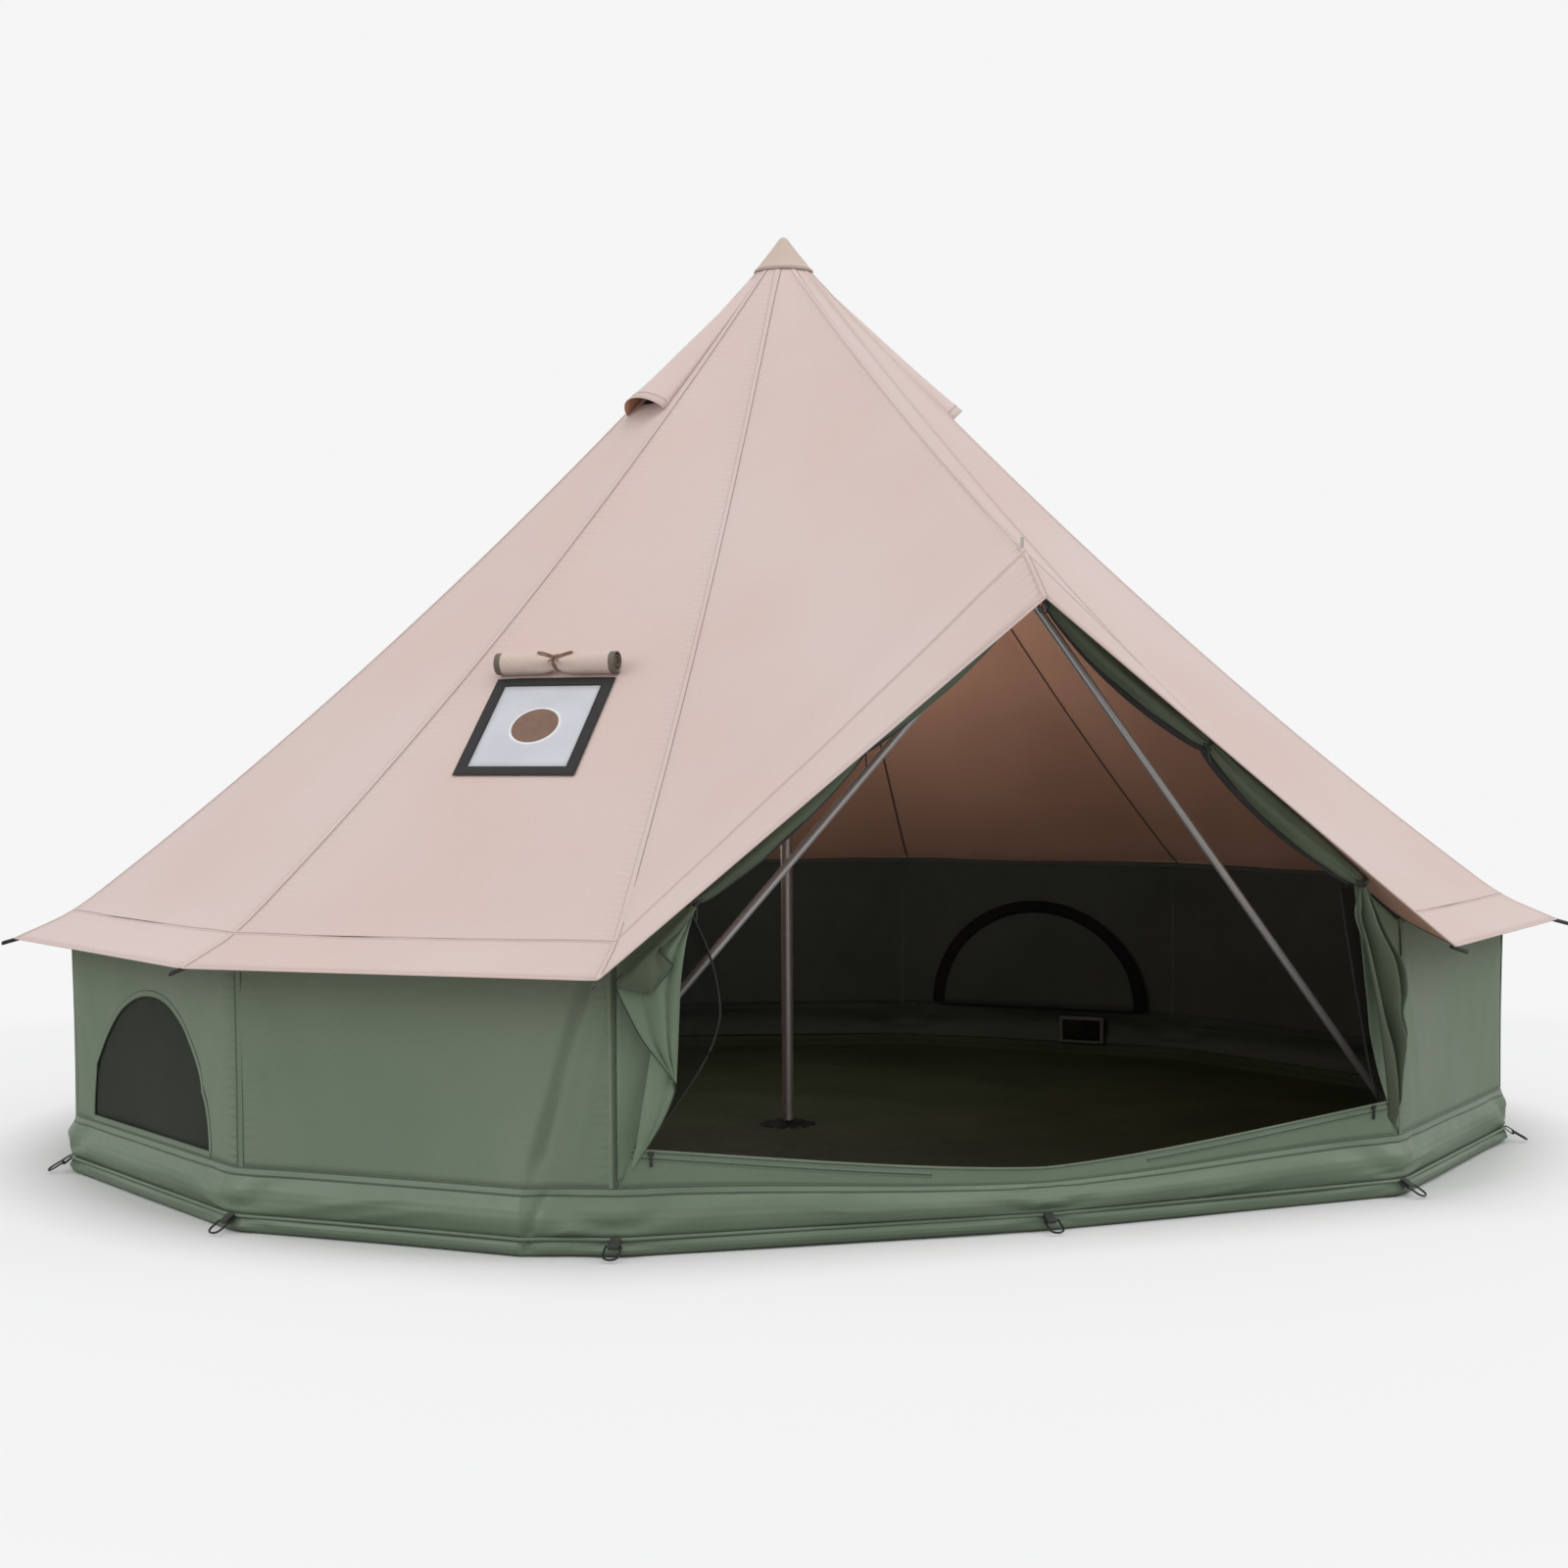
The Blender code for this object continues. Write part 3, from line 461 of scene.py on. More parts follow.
def shaded(tones, share):
    """Two tones made darker or paler."""
    return tuple(tuple(min(1, channel * share) for channel in tone[:3]) + (1,) for tone in tones)


def cloth_finish(name, tones, roughness, thread=0.0012, patch=0.5, specks=0.05, sheen=0.1, coat=0.0,
                 rumple=0.0006, gathered=0.0, ground_shade=0.0, shine=0.5):
    """Woven cloth: uneven dye, weave, small rumples, gathers with painted shade beside its seams, and painted
    shade that darkens it towards the ground.
    """
    made, tree, shader = principled(name, roughness, 0.0, sheen, coat, shine)
    place, metres = coordinates(tree)
    tone = use_group(tree, blotches, {"Vector": place, "Size": patch, "First": tones[0], "Second": tones[1],
                                      "Specks": specks}).outputs[0]
    threads = use_group(tree, weave, {"Vector": metres, "Thread": thread}).outputs[0]
    folds = noise_at(tree, place, 0.06, 4.0, 0.55)
    height = maths(tree, "ADD", maths(tree, "MULTIPLY", threads, thread / rumple / 40), folds)
    if gathered:
        seam = add_node(tree, "ShaderNodeAttribute", attribute_name="seam_distance").outputs["Fac"]
        drawn = use_group(tree, puckers, {"Vector": metres, "Distance": seam})
        height = maths(tree, "ADD", height, maths(tree, "MULTIPLY", drawn.outputs["Height"], gathered))
        # Painted shade: the cloth beside a seam is blended towards a darker tone, most at the seam.
        seam_shade = maths(tree, "MULTIPLY", drawn.outputs["Seam shade"], 0.3)
        tone = blend_colours(tree, seam_shade, tone, shaded(tones, 0.86)[0])
    # Painted shade: the colour is darkened towards the ground, most at the foot, along a line made ragged by
    # the folds.
    if ground_shade:
        level = add_node(tree, "ShaderNodeSeparateXYZ", {0: place}).outputs[2]
        uneven = maths(tree, "ADD", level, spread(tree, folds, 0.0, 1.0, -0.012, 0.012))
        tone = scaled(tree, tone, spread(tree, uneven, 0.004, 0.042, ground_shade, 1.0))
    tree.links.new(tone, shader.inputs["Base Color"])
    raise_surface(tree, shader, height, rumple)
    tree.links.new(spread(tree, folds, 0.2, 0.8, roughness - 0.06, roughness + 0.06),
                   shader.inputs["Roughness"])
    return made


groundsheet_cloth = cloth_finish("groundsheet_cloth", sheet_tones, 0.75, patch=0.35, sheen=0.0, rumple=0.0015,
                                 shine=0.12)
foot_patch_cloth = cloth_finish("foot_patch_cloth", foot_patch_tones, 0.7, patch=0.1, sheen=0.0, shine=0.1)


def sheet_lift(point, share):
    """Height of the groundsheet's creases over the ground."""
    reach, bearing = point.length, math.atan2(point.x, point.y)
    crease = 0.5 + 0.5 * math.sin(bearing * crease_count + 3 * ripple(point, (0.2, 0.2, 1)))
    lift = crease_depth * crease * math.exp(-abs(reach - foot_reach) / crease_reach)
    if reach < foot_reach:
        lift = 0
    rumple = 0.5 + ripple(point, (0.5, 0.35, 1)) + 0.4 * ripple(point, (0.12, 0.16, 1), 4)
    return lift + rumple_depth * max(0, rumple) * min(1, reach / 0.4) * min(1, (1 - share) * 12)


def groundsheet():
    """The sheet from the pole's foot out to the tub, as rings of points, and the patch under the foot."""
    rows = []
    for ring in range(sheet_rings + 1):
        share = sheet_start + (1 - sheet_start) * (ring / sheet_rings) ** 1.5
        row = []
        for column in range(len(corners) * side_columns):
            point = loose_point(column / side_columns, sheet_inset, 0)[0] * share
            row.append(Vector((point.x, point.y, sheet_height + sheet_lift(point, share))))
        rows.append(row)
    rows += [[point * 0.9995 + upright * height for point in rows[-1]] for height in (0.010, sheet_upturn)]
    made = sew("groundsheet", [rows], [groundsheet_cloth], thickness=0.0010, ring=True)
    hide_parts("groundsheet_floor")
    fix(made)
    rows = [[Vector((reach * math.sin(turn), -reach * math.cos(turn),
                     height + patch_wave * math.sin(9 * turn))) for turn in arc(72)[:-1]]
            for reach, height in foot_patch_profile]
    fix(sew("pole_foot_patch", [rows], [foot_patch_cloth], thickness=0, ring=True))


groundsheet()


# The tub: green coated cloth that stands up all round from the ground, creased over a piped line near its
# foot, and bulging where it is folded. It is smoother and glossier than the canvas, and keeps sharp creases
# that are drawn up from its corners.
tub_profile = ((0.0200, 0.1490), (0.0165, 0.1330), (0.0085, 0.1170), (0.0018, 0.1000), (0.0000, 0.0830),
               (0.0035, 0.0650), (0.0090, 0.0500), (0.0150, 0.0385), (0.0060, 0.0310), (0.0025, 0.0240),
               (0.0030, 0.0155), (0.0075, 0.0070), (0.0160, 0.0005))
tub_tones = ((0.160, 0.220, 0.143, 1), (0.186, 0.248, 0.166, 1))
# The tub's inside is a much darker copy of its cloth: painted shade for the dim inside of the tent.
tub_shade_tones = ((0.036, 0.044, 0.031, 1), (0.048, 0.056, 0.041, 1))
tub_height, crease_height = 0.149, 0.0385
tub_seam_row = 1 / (tub_profile[0][1] - tub_profile[1][1]) / (len(tub_profile) - 1)
tub_rows, tub_columns = 60, 30
door_dip_depth, door_swell, slump_crease = 0.038, 0.012, 0.010
tub_pulls = ((10.05, 1.50, 0.46), (10.24, 1.30, 0.34), (10.83, 2.60, 0.12), (0.30, 1.10, 0.36),
             (8.12, 1.30, 0.34))
pull_depth, pull_width = 0.008, 0.10
tub_fold_depth, small_fold_depth, wrinkle_depth, corner_crease_depth = 0.006, 0.002, 0.004, 0.008
held_at_top, held_at_foot, corner_crease_reach, corner_crease_fan = 0.025, 0.015, 0.22, 8.5
slack_start, slack_end, slack_columns, slack_margin = 10.70, 10.90, 40, 0.01
tub_turns = [step / tub_columns for step in range(len(corners) * tub_columns)]
tub_turns = [turns for turns in tub_turns
             if not slack_start - slack_margin < turns < slack_end + slack_margin]
tub_turns = sorted(tub_turns + [slack_start + k / 200 for k in range(slack_columns + 1)])

# The tub's colour is painted darker towards the ground, as shade low on its lower band.
coated_cloth = cloth_finish("coated_cloth", tub_tones, 0.44, patch=0.4, sheen=0.0, coat=0.08, rumple=0.0016,
                            ground_shade=0.88)
shaded_coated_inside = cloth_finish("shaded_coated_inside", tub_shade_tones, 0.7, patch=0.3, sheen=0.0, shine=0.15)


def crest(value, width):
    """A sharp-topped ridge where a value passes through zero."""
    return math.exp(-abs(value) / width)


def by_door(turns):
    """1 at the middle of the doorway, falling to 0 at its corners and beyond."""
    return math.cos(math.pi / 2 * min(1, abs((turns + 6) % 12 - 6))) ** 2


def tub_at(turns, row):
    """A point on the tub's outside: corners at whole turns, row from 0 at the top to 1 on the ground."""
    spot = row * (len(tub_profile) - 1)
    index = min(int(spot), len(tub_profile) - 2)
    part = spot - index
    inset, height = [a + (b - a) * part for a, b in zip(tub_profile[index], tub_profile[index + 1])]
    body = max(0.0, (height - crease_height) / (tub_height - crease_height))
    near = min(turns % 1, 1 - turns % 1)
    swell = door_swell * by_door(turns) * min(1, near * 6) * math.sin(math.pi * body)
    point = loose_point(turns, inset - swell, height - door_dip_depth * by_door(turns) * body)[0]
    loose = min(1, (tub_height - height) / held_at_top) * min(1, height / held_at_foot)
    if height > crease_height:
        loose *= min(1, (height - crease_height) / held_at_foot)
    fold = tub_fold_depth * ripple(point, (0.60, 0.60, 0.055), 3)
    fold += small_fold_depth * ripple(point, (0.16, 0.16, 0.03), 9)
    fold -= slump_crease * math.exp(-((turns - slump_turns - 0.012 - 0.04 * body) / 0.012) ** 2)
    drift = ripple(Vector((turns * 1.7, height * 12, 0)), (1, 1, 1), 21)
    wrinkle = wrinkle_depth * crest(drift, 0.04) * max(0, 3 * ripple(point, (0.30, 0.30, 1), 30) - 0.4)
    climb = math.atan2(height - crease_height, near + 0.012)
    fan = math.sin(corner_crease_fan * climb + 3 * ripple(point, (0.5, 0.5, 1), 40))
    drawn = corner_crease_depth * math.exp(-near / corner_crease_reach) * fan
    for start, slope, reach in tub_pulls:
        part = min(1, max(0, (turns - start) / reach))
        fold += pull_depth * crest(body - slope * (turns - start), pull_width) * math.sin(math.pi * part)
    away = Vector((point.x, point.y, 0)).normalized()
    return point + away * loose * (fold + wrinkle + drawn * min(1, near / 0.02)), away


def tub():
    """The whole tub in one strip of cloth."""
    rows = [[tub_at(turns, row / tub_rows)[0] for turns in tub_turns] for row in range(tub_rows + 1)]
    made = sew("tub", [rows], [coated_cloth, shaded_coated_inside], ring=True)
    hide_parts("tub_skirt")
    fix(made)


tub()


# The seams: the tent's panels are joined by flat-felled seams, a folded strip sewn down with two rows of
# stitches. Each strip here follows the cloth that it joins and carries its rows of stitches in its finish.
stitch_pitch, stitch_length_share, stitch_width = 0.006, 0.62, 0.0020
strip_shape = ((-1.0, 0.0), (-0.97, 0.75), (-0.88, 1.0), (0.0, 1.0), (0.88, 1.0), (0.97, 0.75), (1.0, 0.0))
tub_seam_half, tub_seam_shift = 0.011, 0.010
# Darker colour painted into the stitch grooves of the green seams as shade.
green_groove_shade = (0.022, 0.030, 0.020, 1)


def stitches_group():
    """Two rows of stitches in a strip, the second one fainter: thread, the groove round it, and height."""
    tree, given, out = new_group("stitches", {"Vector": ("Vector", None), "Row": ("Float", 0.006),
                                              "Second": ("Float", 1.0)},
                                 {"Thread": "Float", "Groove": "Float", "Height": "Float"})
    across = add_node(tree, "ShaderNodeSeparateXYZ", {0: given.outputs["Vector"]})
    off = maths(tree, "ABSOLUTE", maths(tree, "SUBTRACT", maths(tree, "ABSOLUTE", across.outputs[0]),
                                        given.outputs["Row"]))
    along = maths(tree, "FRACT", maths(tree, "DIVIDE", across.outputs[1], stitch_pitch))
    dash = maths(tree, "LESS_THAN", maths(tree, "ABSOLUTE", maths(tree, "SUBTRACT", along, 0.5)),
                 stitch_length_share / 2)
    first = maths(tree, "GREATER_THAN", across.outputs[0], 0)
    weight = maths(tree, "MAXIMUM", first, given.outputs["Second"])
    body = maths(tree, "MULTIPLY", spread(tree, off, stitch_width / 2, 0.0), weight)
    thread = maths(tree, "MULTIPLY", body, dash)
    groove = maths(tree, "MULTIPLY", spread(tree, off, stitch_width * 1.3, stitch_width * 0.5), weight)
    tree.links.new(thread, out.inputs["Thread"])
    tree.links.new(groove, out.inputs["Groove"])
    tree.links.new(maths(tree, "SUBTRACT", thread, groove), out.inputs["Height"])
    return tree


stitches = stitches_group()


def seam_finish(name, tones, roughness, row, groove_shade, groove=0.6, thread=0.95, second=1.0, sheen=0.1, shine=0.5):
    """A sewn strip: cloth with its rows of stitches, and painted shade in the grooves along the rows."""
    made, tree, shader = principled(name, roughness, 0.0, sheen, shine=shine)
    place, metres = coordinates(tree)
    tone = use_group(tree, blotches, {"Vector": place, "First": tones[0], "Second": tones[1]}).outputs[0]
    rows = use_group(tree, stitches, {"Vector": metres, "Row": row, "Second": second})
    # Painted shade: the grooves round the stitches are blended towards a darker colour.
    grooved = blend_colours(tree, maths(tree, "MULTIPLY", rows.outputs["Groove"], groove), tone, groove_shade)
    sewn = maths(tree, "MULTIPLY", rows.outputs["Thread"], 0.45)
    tone = blend_colours(tree, sewn, grooved, scaled(tree, tone, thread))
    tree.links.new(tone, shader.inputs["Base Color"])
    threads = maths(tree, "MULTIPLY", use_group(tree, weave, {"Vector": metres}).outputs[0], 0.15)
    raise_surface(tree, shader, maths(tree, "ADD", rows.outputs["Height"], threads), 0.0010)
    return made


def strip(name, runs, half, lift, finish, base=0.0003):
    """Sewn strips, each run a list of functions from an offset across to a point and its outward normal."""
    patches = []
    for spots in runs:
        rows = []
        for spot in spots:
            placed = [(spot(offset * half), rise) for offset, rise in strip_shape]
            rows.append([point + normal * (base + rise * lift) for (point, normal), rise in placed])
        patches.append(rows)
    return fix(sew(name, patches, [finish], thickness=0, centred=True))


def tub_bands():
    """The two rows of stitches that join the walls to the tub."""
    spots = [lambda offset, turns=turns: tub_at(turns, max(0.0, tub_seam_row * (offset + tub_seam_shift)))
             for turns in tub_turns + tub_turns[:1]]
    finish = seam_finish("tub_seam_cloth", tub_tones, 0.44, 0.0078, green_groove_shade)
    strip("tub_top_seam", [spots], tub_seam_half, 0.0007, finish)


tub_bands()


# The piping and pegging points: a piped welt in the tub's crease, and at each of the twelve corners a short
# webbing strap that is folded round a black steel ring for a peg.
welt_radius, welt_inset = 0.0042, 0.0072
welt_tones = ((0.150, 0.200, 0.138, 1), (0.185, 0.235, 0.168, 1))
webbing_tones = ((0.030, 0.032, 0.028, 1), (0.048, 0.050, 0.044, 1))
strap_slope, strap_length, strap_width = 30 * degree, 0.020, 0.024
strap_turn = 0.0050
ring_finish_colours = ((0.045, 0.045, 0.043, 1), (0.20, 0.20, 0.19, 1))

welt_cloth = cloth_finish("welt_cloth", welt_tones, 0.42, patch=0.2, sheen=0.0, coat=0.1)
black_webbing = cloth_finish("black_webbing", webbing_tones, 0.7, thread=0.0022, patch=0.03, specks=0.15,
                             rumple=0.0008)


def tube_rows(points, radius, closed=False, sides=8):
    """Rings of points round a line."""
    rows, count = [], len(points)
    for index, point in enumerate(points):
        before = points[index - 1] if index or closed else point
        after = points[(index + 1) % count] if index < count - 1 or closed else point
        run = (after - before).normalized()
        side = run.cross(upright if abs(run.z) < 0.9 else Vector((1, 0, 0))).normalized()
        top = side.cross(run)
        size = radius(index / (count - 1)) if callable(radius) else radius
        rows.append([point + side * size * math.cos(turn) + top * size * math.sin(turn)
                     for turn in arc(sides)[:-1]])
    return rows + rows[:1] if closed else rows


def cord_tube(name, lines, radius, finish, closed=False, sides=8, body="tent"):
    """Round tubes of cloth or cord through lines of points, closed at their ends."""
    made = sew(name, [tube_rows(points, radius, closed, sides) for points in lines], [finish], thickness=0,
               ring=True)
    shape = bmesh.new()
    shape.from_mesh(made.data)
    if closed:
        bmesh.ops.remove_doubles(shape, verts=shape.verts, dist=0.00001)
    else:
        bmesh.ops.holes_fill(shape, edges=shape.edges, sides=0)
    bmesh.ops.recalc_face_normals(shape, faces=shape.faces)
    shape.to_mesh(made.data)
    shape.free()
    return fix(made, body)


def pegging_points():
    """The welt round the tub and the twelve straps, each a loop of webbing round its ring."""
    welt = [loose_point(turns, welt_inset, crease_height)[0] for turns in tub_turns]
    made = cord_tube("tub_welt", [welt], welt_radius, welt_cloth, closed=True)
    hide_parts("peg_webbing")
    straps = []
    for index in range(len(corners)):
        down = outward(index) * math.cos(strap_slope) - upright * math.sin(strap_slope)
        face = outward(index) * math.sin(strap_slope) + upright * math.cos(strap_slope)
        level = upright.cross(outward(index))
        start = corner(index, -welt_inset - 0.004, crease_height)
        eye = strap_length + 0.004
        loop = [(0.0, 0.0046), (eye * 0.45, 0.0050), (eye * 0.8, 0.0048)]
        loop += [(eye + strap_turn * math.sin(turn), strap_turn * math.cos(turn)) for turn in arc(8, math.pi)]
        loop += [(eye * 0.8, -0.0044), (eye * 0.45, -0.0034), (0.0, -0.0020)]
        straps.append([[start + down * along + face * rise + level * strap_width * (k / 6 - 0.5)
                        for k in range(7)] for along, rise in loop])
    fix(sew("peg_straps", straps, [black_webbing], thickness=0.0014, side=0))


pegging_points()
ring_metal = tube_finish("ring_metal", *ring_finish_colours, 0.38, 0.9)
dress([f"peg_ring_{index:02d}" for index in range(len(corners))], ring_metal)


# The walls: ten sage green canvas panels that hang from the roof and are sewn to the tub. They are slack
# enough to show soft folds from the eave corners, and their corners carry double-stitched seams.
wall_inset, wall_foot = 0.020, 0.149
roof_wall_height = 0.673
wall_top = roof_wall_height - 0.0035
wall_tones = ((0.172, 0.230, 0.150, 1), (0.206, 0.254, 0.180, 1))
# The walls' inside is a much darker copy of the canvas: painted shade for the dim inside of the tent.
shaded_wall_inside_tones = ((0.022, 0.027, 0.020, 1), (0.030, 0.035, 0.026, 1))
wall_rows, wall_columns, wall_relief_depth, door_fold_depth = 30, 36, 0.008, 0.018
wall_tuck, wall_end, wall_seam_shift, wall_seam_half = 0.002, 10.9999, 0.016, 0.0105
canvas_thickness = 0.0013

wall_canvas = cloth_finish("wall_canvas", wall_tones, 0.78, patch=0.45, rumple=0.0010, gathered=1.2)
shaded_wall_inside = cloth_finish("shaded_wall_inside", shaded_wall_inside_tones, 0.85, patch=0.45)
wall_seam = seam_finish("wall_seam", wall_tones, 0.8, 0.0078, green_groove_shade)
wall_seam_inside = seam_finish("wall_seam_inside", shaded(shaded_wall_inside_tones, 1.5), 0.8, 0.006, green_groove_shade)


def wall_relief(turns, rise):
    """How far the wall stands out of its plane: slack between seams, and folds from the eave corners."""
    share, rise = turns % 1, min(1, max(0, rise))
    hold = math.sin(math.pi * share) * math.sin(math.pi * rise)
    spot = Vector((turns, rise, 0))
    slack = wall_relief_depth * hold * (-0.7 + 1.1 * ripple(spot, (0.35, 1.2, 1), 2)
                                        + 0.45 * ripple(spot, (0.1, 0.45, 1), 7))
    fold = 0.0
    for anchor, lean in ((0.0, 0.24), (1.0, -0.24), (0.0, 0.10), (1.0, -0.10)):
        line = anchor + lean * (1 - rise)
        ridge = wall_relief_depth * crest(share - line, 0.028)
        fold += ridge * math.sin(math.pi * rise) ** 0.7 * (1 - share * 0.2)
    if 10 <= turns < 11:
        line = slump_turns - 9.984 + slump_lean * rise
        fold -= door_fold_depth * math.exp(-((share - line) / 0.014) ** 2) * min(1, rise * 8, (1 - rise) * 8)
    return slack + fold


def wall_at(turns, height):
    """A point on a wall's outside with its outward normal."""
    rise = (height - wall_foot) / (wall_top - wall_foot)
    point, away = loose_point(turns, wall_inset, height, rise)
    return point + away * wall_relief(turns, rise), away


window_panels = {2: "right", 4: "rear", 9: "left"}
window_width, window_height, window_sill = 0.720, 0.330, 0.012
cutter_depth, cutter_steps = 0.06, 40


def window_frame(panel):
    """Middle of a window's base, its direction along the wall and out of the tent."""
    middle = (corner(panel, -wall_inset) + corner(panel + 1, -wall_inset)) / 2
    along = (corner(panel + 1) - corner(panel)).normalized()
    return middle + upright * (wall_foot + window_sill), along, along.cross(upright)


def window_cutter(panel):
    """A half-round prism through the wall."""
    base, along, away = window_frame(panel)
    shape = bmesh.new()
    rims = [[shape.verts.new(base + away * depth + along * window_width / 2 * math.cos(turn)
                             + upright * window_height * math.sin(turn))
             for turn in arc(cutter_steps, math.pi)] for depth in (-cutter_depth, cutter_depth)]
    shape.faces.new(rims[0])
    shape.faces.new(rims[1][::-1])
    for k in range(cutter_steps + 1):
        after = (k + 1) % (cutter_steps + 1)
        shape.faces.new((rims[0][after], rims[0][k], rims[1][k], rims[1][after]))
    bmesh.ops.recalc_face_normals(shape, faces=shape.faces)
    mesh = bpy.data.meshes.new(f"window_cut_{panel}")
    shape.to_mesh(mesh)
    shape.free()
    cutter = bpy.data.objects.new(mesh.name, mesh)
    bpy.context.scene.collection.objects.link(cutter)
    return cutter


def walls():
    """All ten panels in one run of canvas, cut open for the three windows."""
    columns = [1 + step / wall_columns for step in range(10 * wall_columns)]
    columns = [turns for turns in columns if turns < slack_start - slack_margin]
    columns += [slack_start + k / 133 for k in range(slack_columns)] + [11]
    drop = wall_foot - wall_tuck - wall_top
    heights = [wall_top + drop * row / wall_rows for row in range(wall_rows + 1)]
    rows = [[wall_at(min(turns, wall_end), height)[0] for turns in columns] for height in heights]
    distance = [min(turns % 1, 1 - turns % 1) for _ in heights for turns in columns]
    made = sew("walls", [rows], [wall_canvas, shaded_wall_inside], distance=distance)
    cutters = [window_cutter(panel) for panel in window_panels]
    for cutter in cutters:
        cut = made.modifiers.new("window", "BOOLEAN")
        cut.operation, cut.solver, cut.object = "DIFFERENCE", "EXACT", cutter
    graph = bpy.context.evaluated_depsgraph_get()
    whole = bpy.data.meshes.new_from_object(made.evaluated_get(graph))
    made.modifiers.clear()
    made.data = whole
    for cutter in cutters:
        bpy.data.objects.remove(cutter, do_unlink=True)
    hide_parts(*[f"wall_panel_{number:02d}" for number in range(1, 11)])
    fix(made)


def wall_seams():
    """The double-stitched seam beside each corner, outside and inside."""
    for name, depth, back, finish in (("outside", 1, 0.0, wall_seam),
                                      ("inside", -1, canvas_thickness, wall_seam_inside)):
        runs = []
        for index in range(1, 12):
            turns = index + wall_seam_shift if index < 11 else index - wall_seam_shift
            along = (corner(int(turns) + 1) - corner(int(turns))).normalized()
            spots = []
            for row in range(31):
                point, away = wall_at(turns, wall_top - wall_tuck + (wall_foot - wall_top) * row / 30)
                spots.append(lambda offset, point=point, away=away, along=along, depth=depth, back=back:
                             (point + along * offset * depth - away * back, away * depth))
            runs.append(spots)
        strip(f"wall_seams_{name}", runs, wall_seam_half, 0.0006, finish)
    joint = []
    for step in range(10 * wall_columns + 1):
        point, away = wall_at(min(1 + step / wall_columns, wall_end), wall_top - 0.003)
        joint.append(lambda offset, point=point, away=away: (point - away * 0.0016 + upright * offset, -away))
    strip("roof_joint_inside", [joint], 0.010, 0.0010, wall_seam_inside)


walls()
wall_seams()


# The windows: half-round screens of dark insect mesh with a stitched border outside. Inside, each one is
# closed by a canvas flap with a wide black zip band round its arch.
screen_tones = ((0.060, 0.070, 0.053, 1), (0.080, 0.092, 0.070, 1))
screen_pitch = 0.0020
border_width, zip_band_width, zip_band_stand = 0.016, 0.042, 0.022
screen_depth, screen_edge, flap_depth, flap_edge_width = -0.004, 0.010, -0.018, 0.026
pane_slack, pane_drop, pane_steps = 0.005, 0.006, 20
zip_band_tones = ((0.006, 0.006, 0.006, 1), (0.012, 0.012, 0.011, 1))


def screen_finish(name, tones, opening):
    """Insect mesh: square holes between round threads."""
    made, tree, shader = principled(name, 0.80, shine=0.15)
    place, metres = coordinates(tree)
    across = add_node(tree, "ShaderNodeSeparateXYZ", {0: metres})
    paces = [maths(tree, "MULTIPLY", across.outputs[k], math.pi / screen_pitch) for k in (0, 1)]
    waves = [maths(tree, "ABSOLUTE", maths(tree, "SINE", pace)) for pace in paces]
    hole = maths(tree, "MINIMUM", *waves)
    solid = maths(tree, "SUBTRACT", 1, maths(tree, "GREATER_THAN", hole, 1 - opening))
    tree.links.new(use_group(tree, blotches, {"Vector": place, "First": tones[0], "Second": tones[1],
                                              "Specks": 0.1}).outputs[0], shader.inputs["Base Color"])
    tree.links.new(solid, shader.inputs["Alpha"])
    raise_surface(tree, shader, maths(tree, "SUBTRACT", 1, hole), 0.0004)
    return made


window_screen = screen_finish("window_screen", screen_tones, 0.40)
zip_band = seam_finish("zip_band", zip_band_tones, 0.8, 0.014, zip_band_tones[0], thread=2.2, sheen=0.0,
                       shine=0.06)
# The window flaps take the same darker inside tones: painted shade.
flap_cloth = cloth_finish("window_flap_cloth", shaded_wall_inside_tones, 0.85)


def window_relief(panel, place):
    """How far the slack wall carries a place in a window's plane."""
    base, along = window_frame(panel)[:2]
    turns = panel + 0.5 + (place - base).dot(along) / (corner(panel + 1) - corner(panel)).length
    return wall_at(turns, place.z)[0] - plan_point(turns, wall_inset, place.z)


def window_pane(name, panel, depth, grow, finish):
    """A half-round cloth behind a window's opening: it follows the wall, and is slack inside its edge."""
    base, along, away = window_frame(panel)
    rows = []
    for row in range(pane_steps + 1):
        share = math.sin(math.pi / 2 * (1 - row / pane_steps))
        half = (window_width / 2 + grow) * math.sqrt(max(0.0, 1 - share ** 2)) + 0.001
        height = (window_height + grow) * share - pane_drop
        places = [base + upright * height + along * half * (2 * part - 1) for part in arc(pane_steps, 1)]
        slack = [pane_slack * min(1, row / 6) * math.sin(math.pi * part)
                 * ripple((part, share, panel), (0.6, 0.5, 1), depth) for part in arc(pane_steps, 1)]
        rows.append([place + window_relief(panel, place) + away * (depth + loose)
                     for place, loose in zip(places, slack)])
    made = fix(sew(name, [rows], [finish], thickness=0.0006))
    return made


def window_band(name, panel, depth, half, finish):
    """A sewn strip round a window's arch and along its sill."""
    base, along, away = window_frame(panel)

    def spot(offset, centre, out):
        """A point on the strip across its middle line, laid on the wall."""
        stand = 0.0 if depth > 0 else zip_band_stand
        return centre + out * offset * depth + window_relief(panel, centre) - away * stand, away * depth

    runs = [[lambda offset, turn=turn: spot(
        offset, base + along * (window_width / 2 + half) * math.cos(turn)
        + upright * (window_height + half) * math.sin(turn),
        (along * math.cos(turn) / window_width * 2 + upright * math.sin(turn) / window_height).normalized())
        for turn in arc(60, math.pi)]]
    if depth > 0:
        runs.append([lambda offset, share=2 * step / 20 - 1: spot(
            offset, base + along * share * (window_width / 2 + half) - upright * half * 0.55, -upright)
            for step in range(21)])
    strip(name, runs, half, 0.0012, finish)


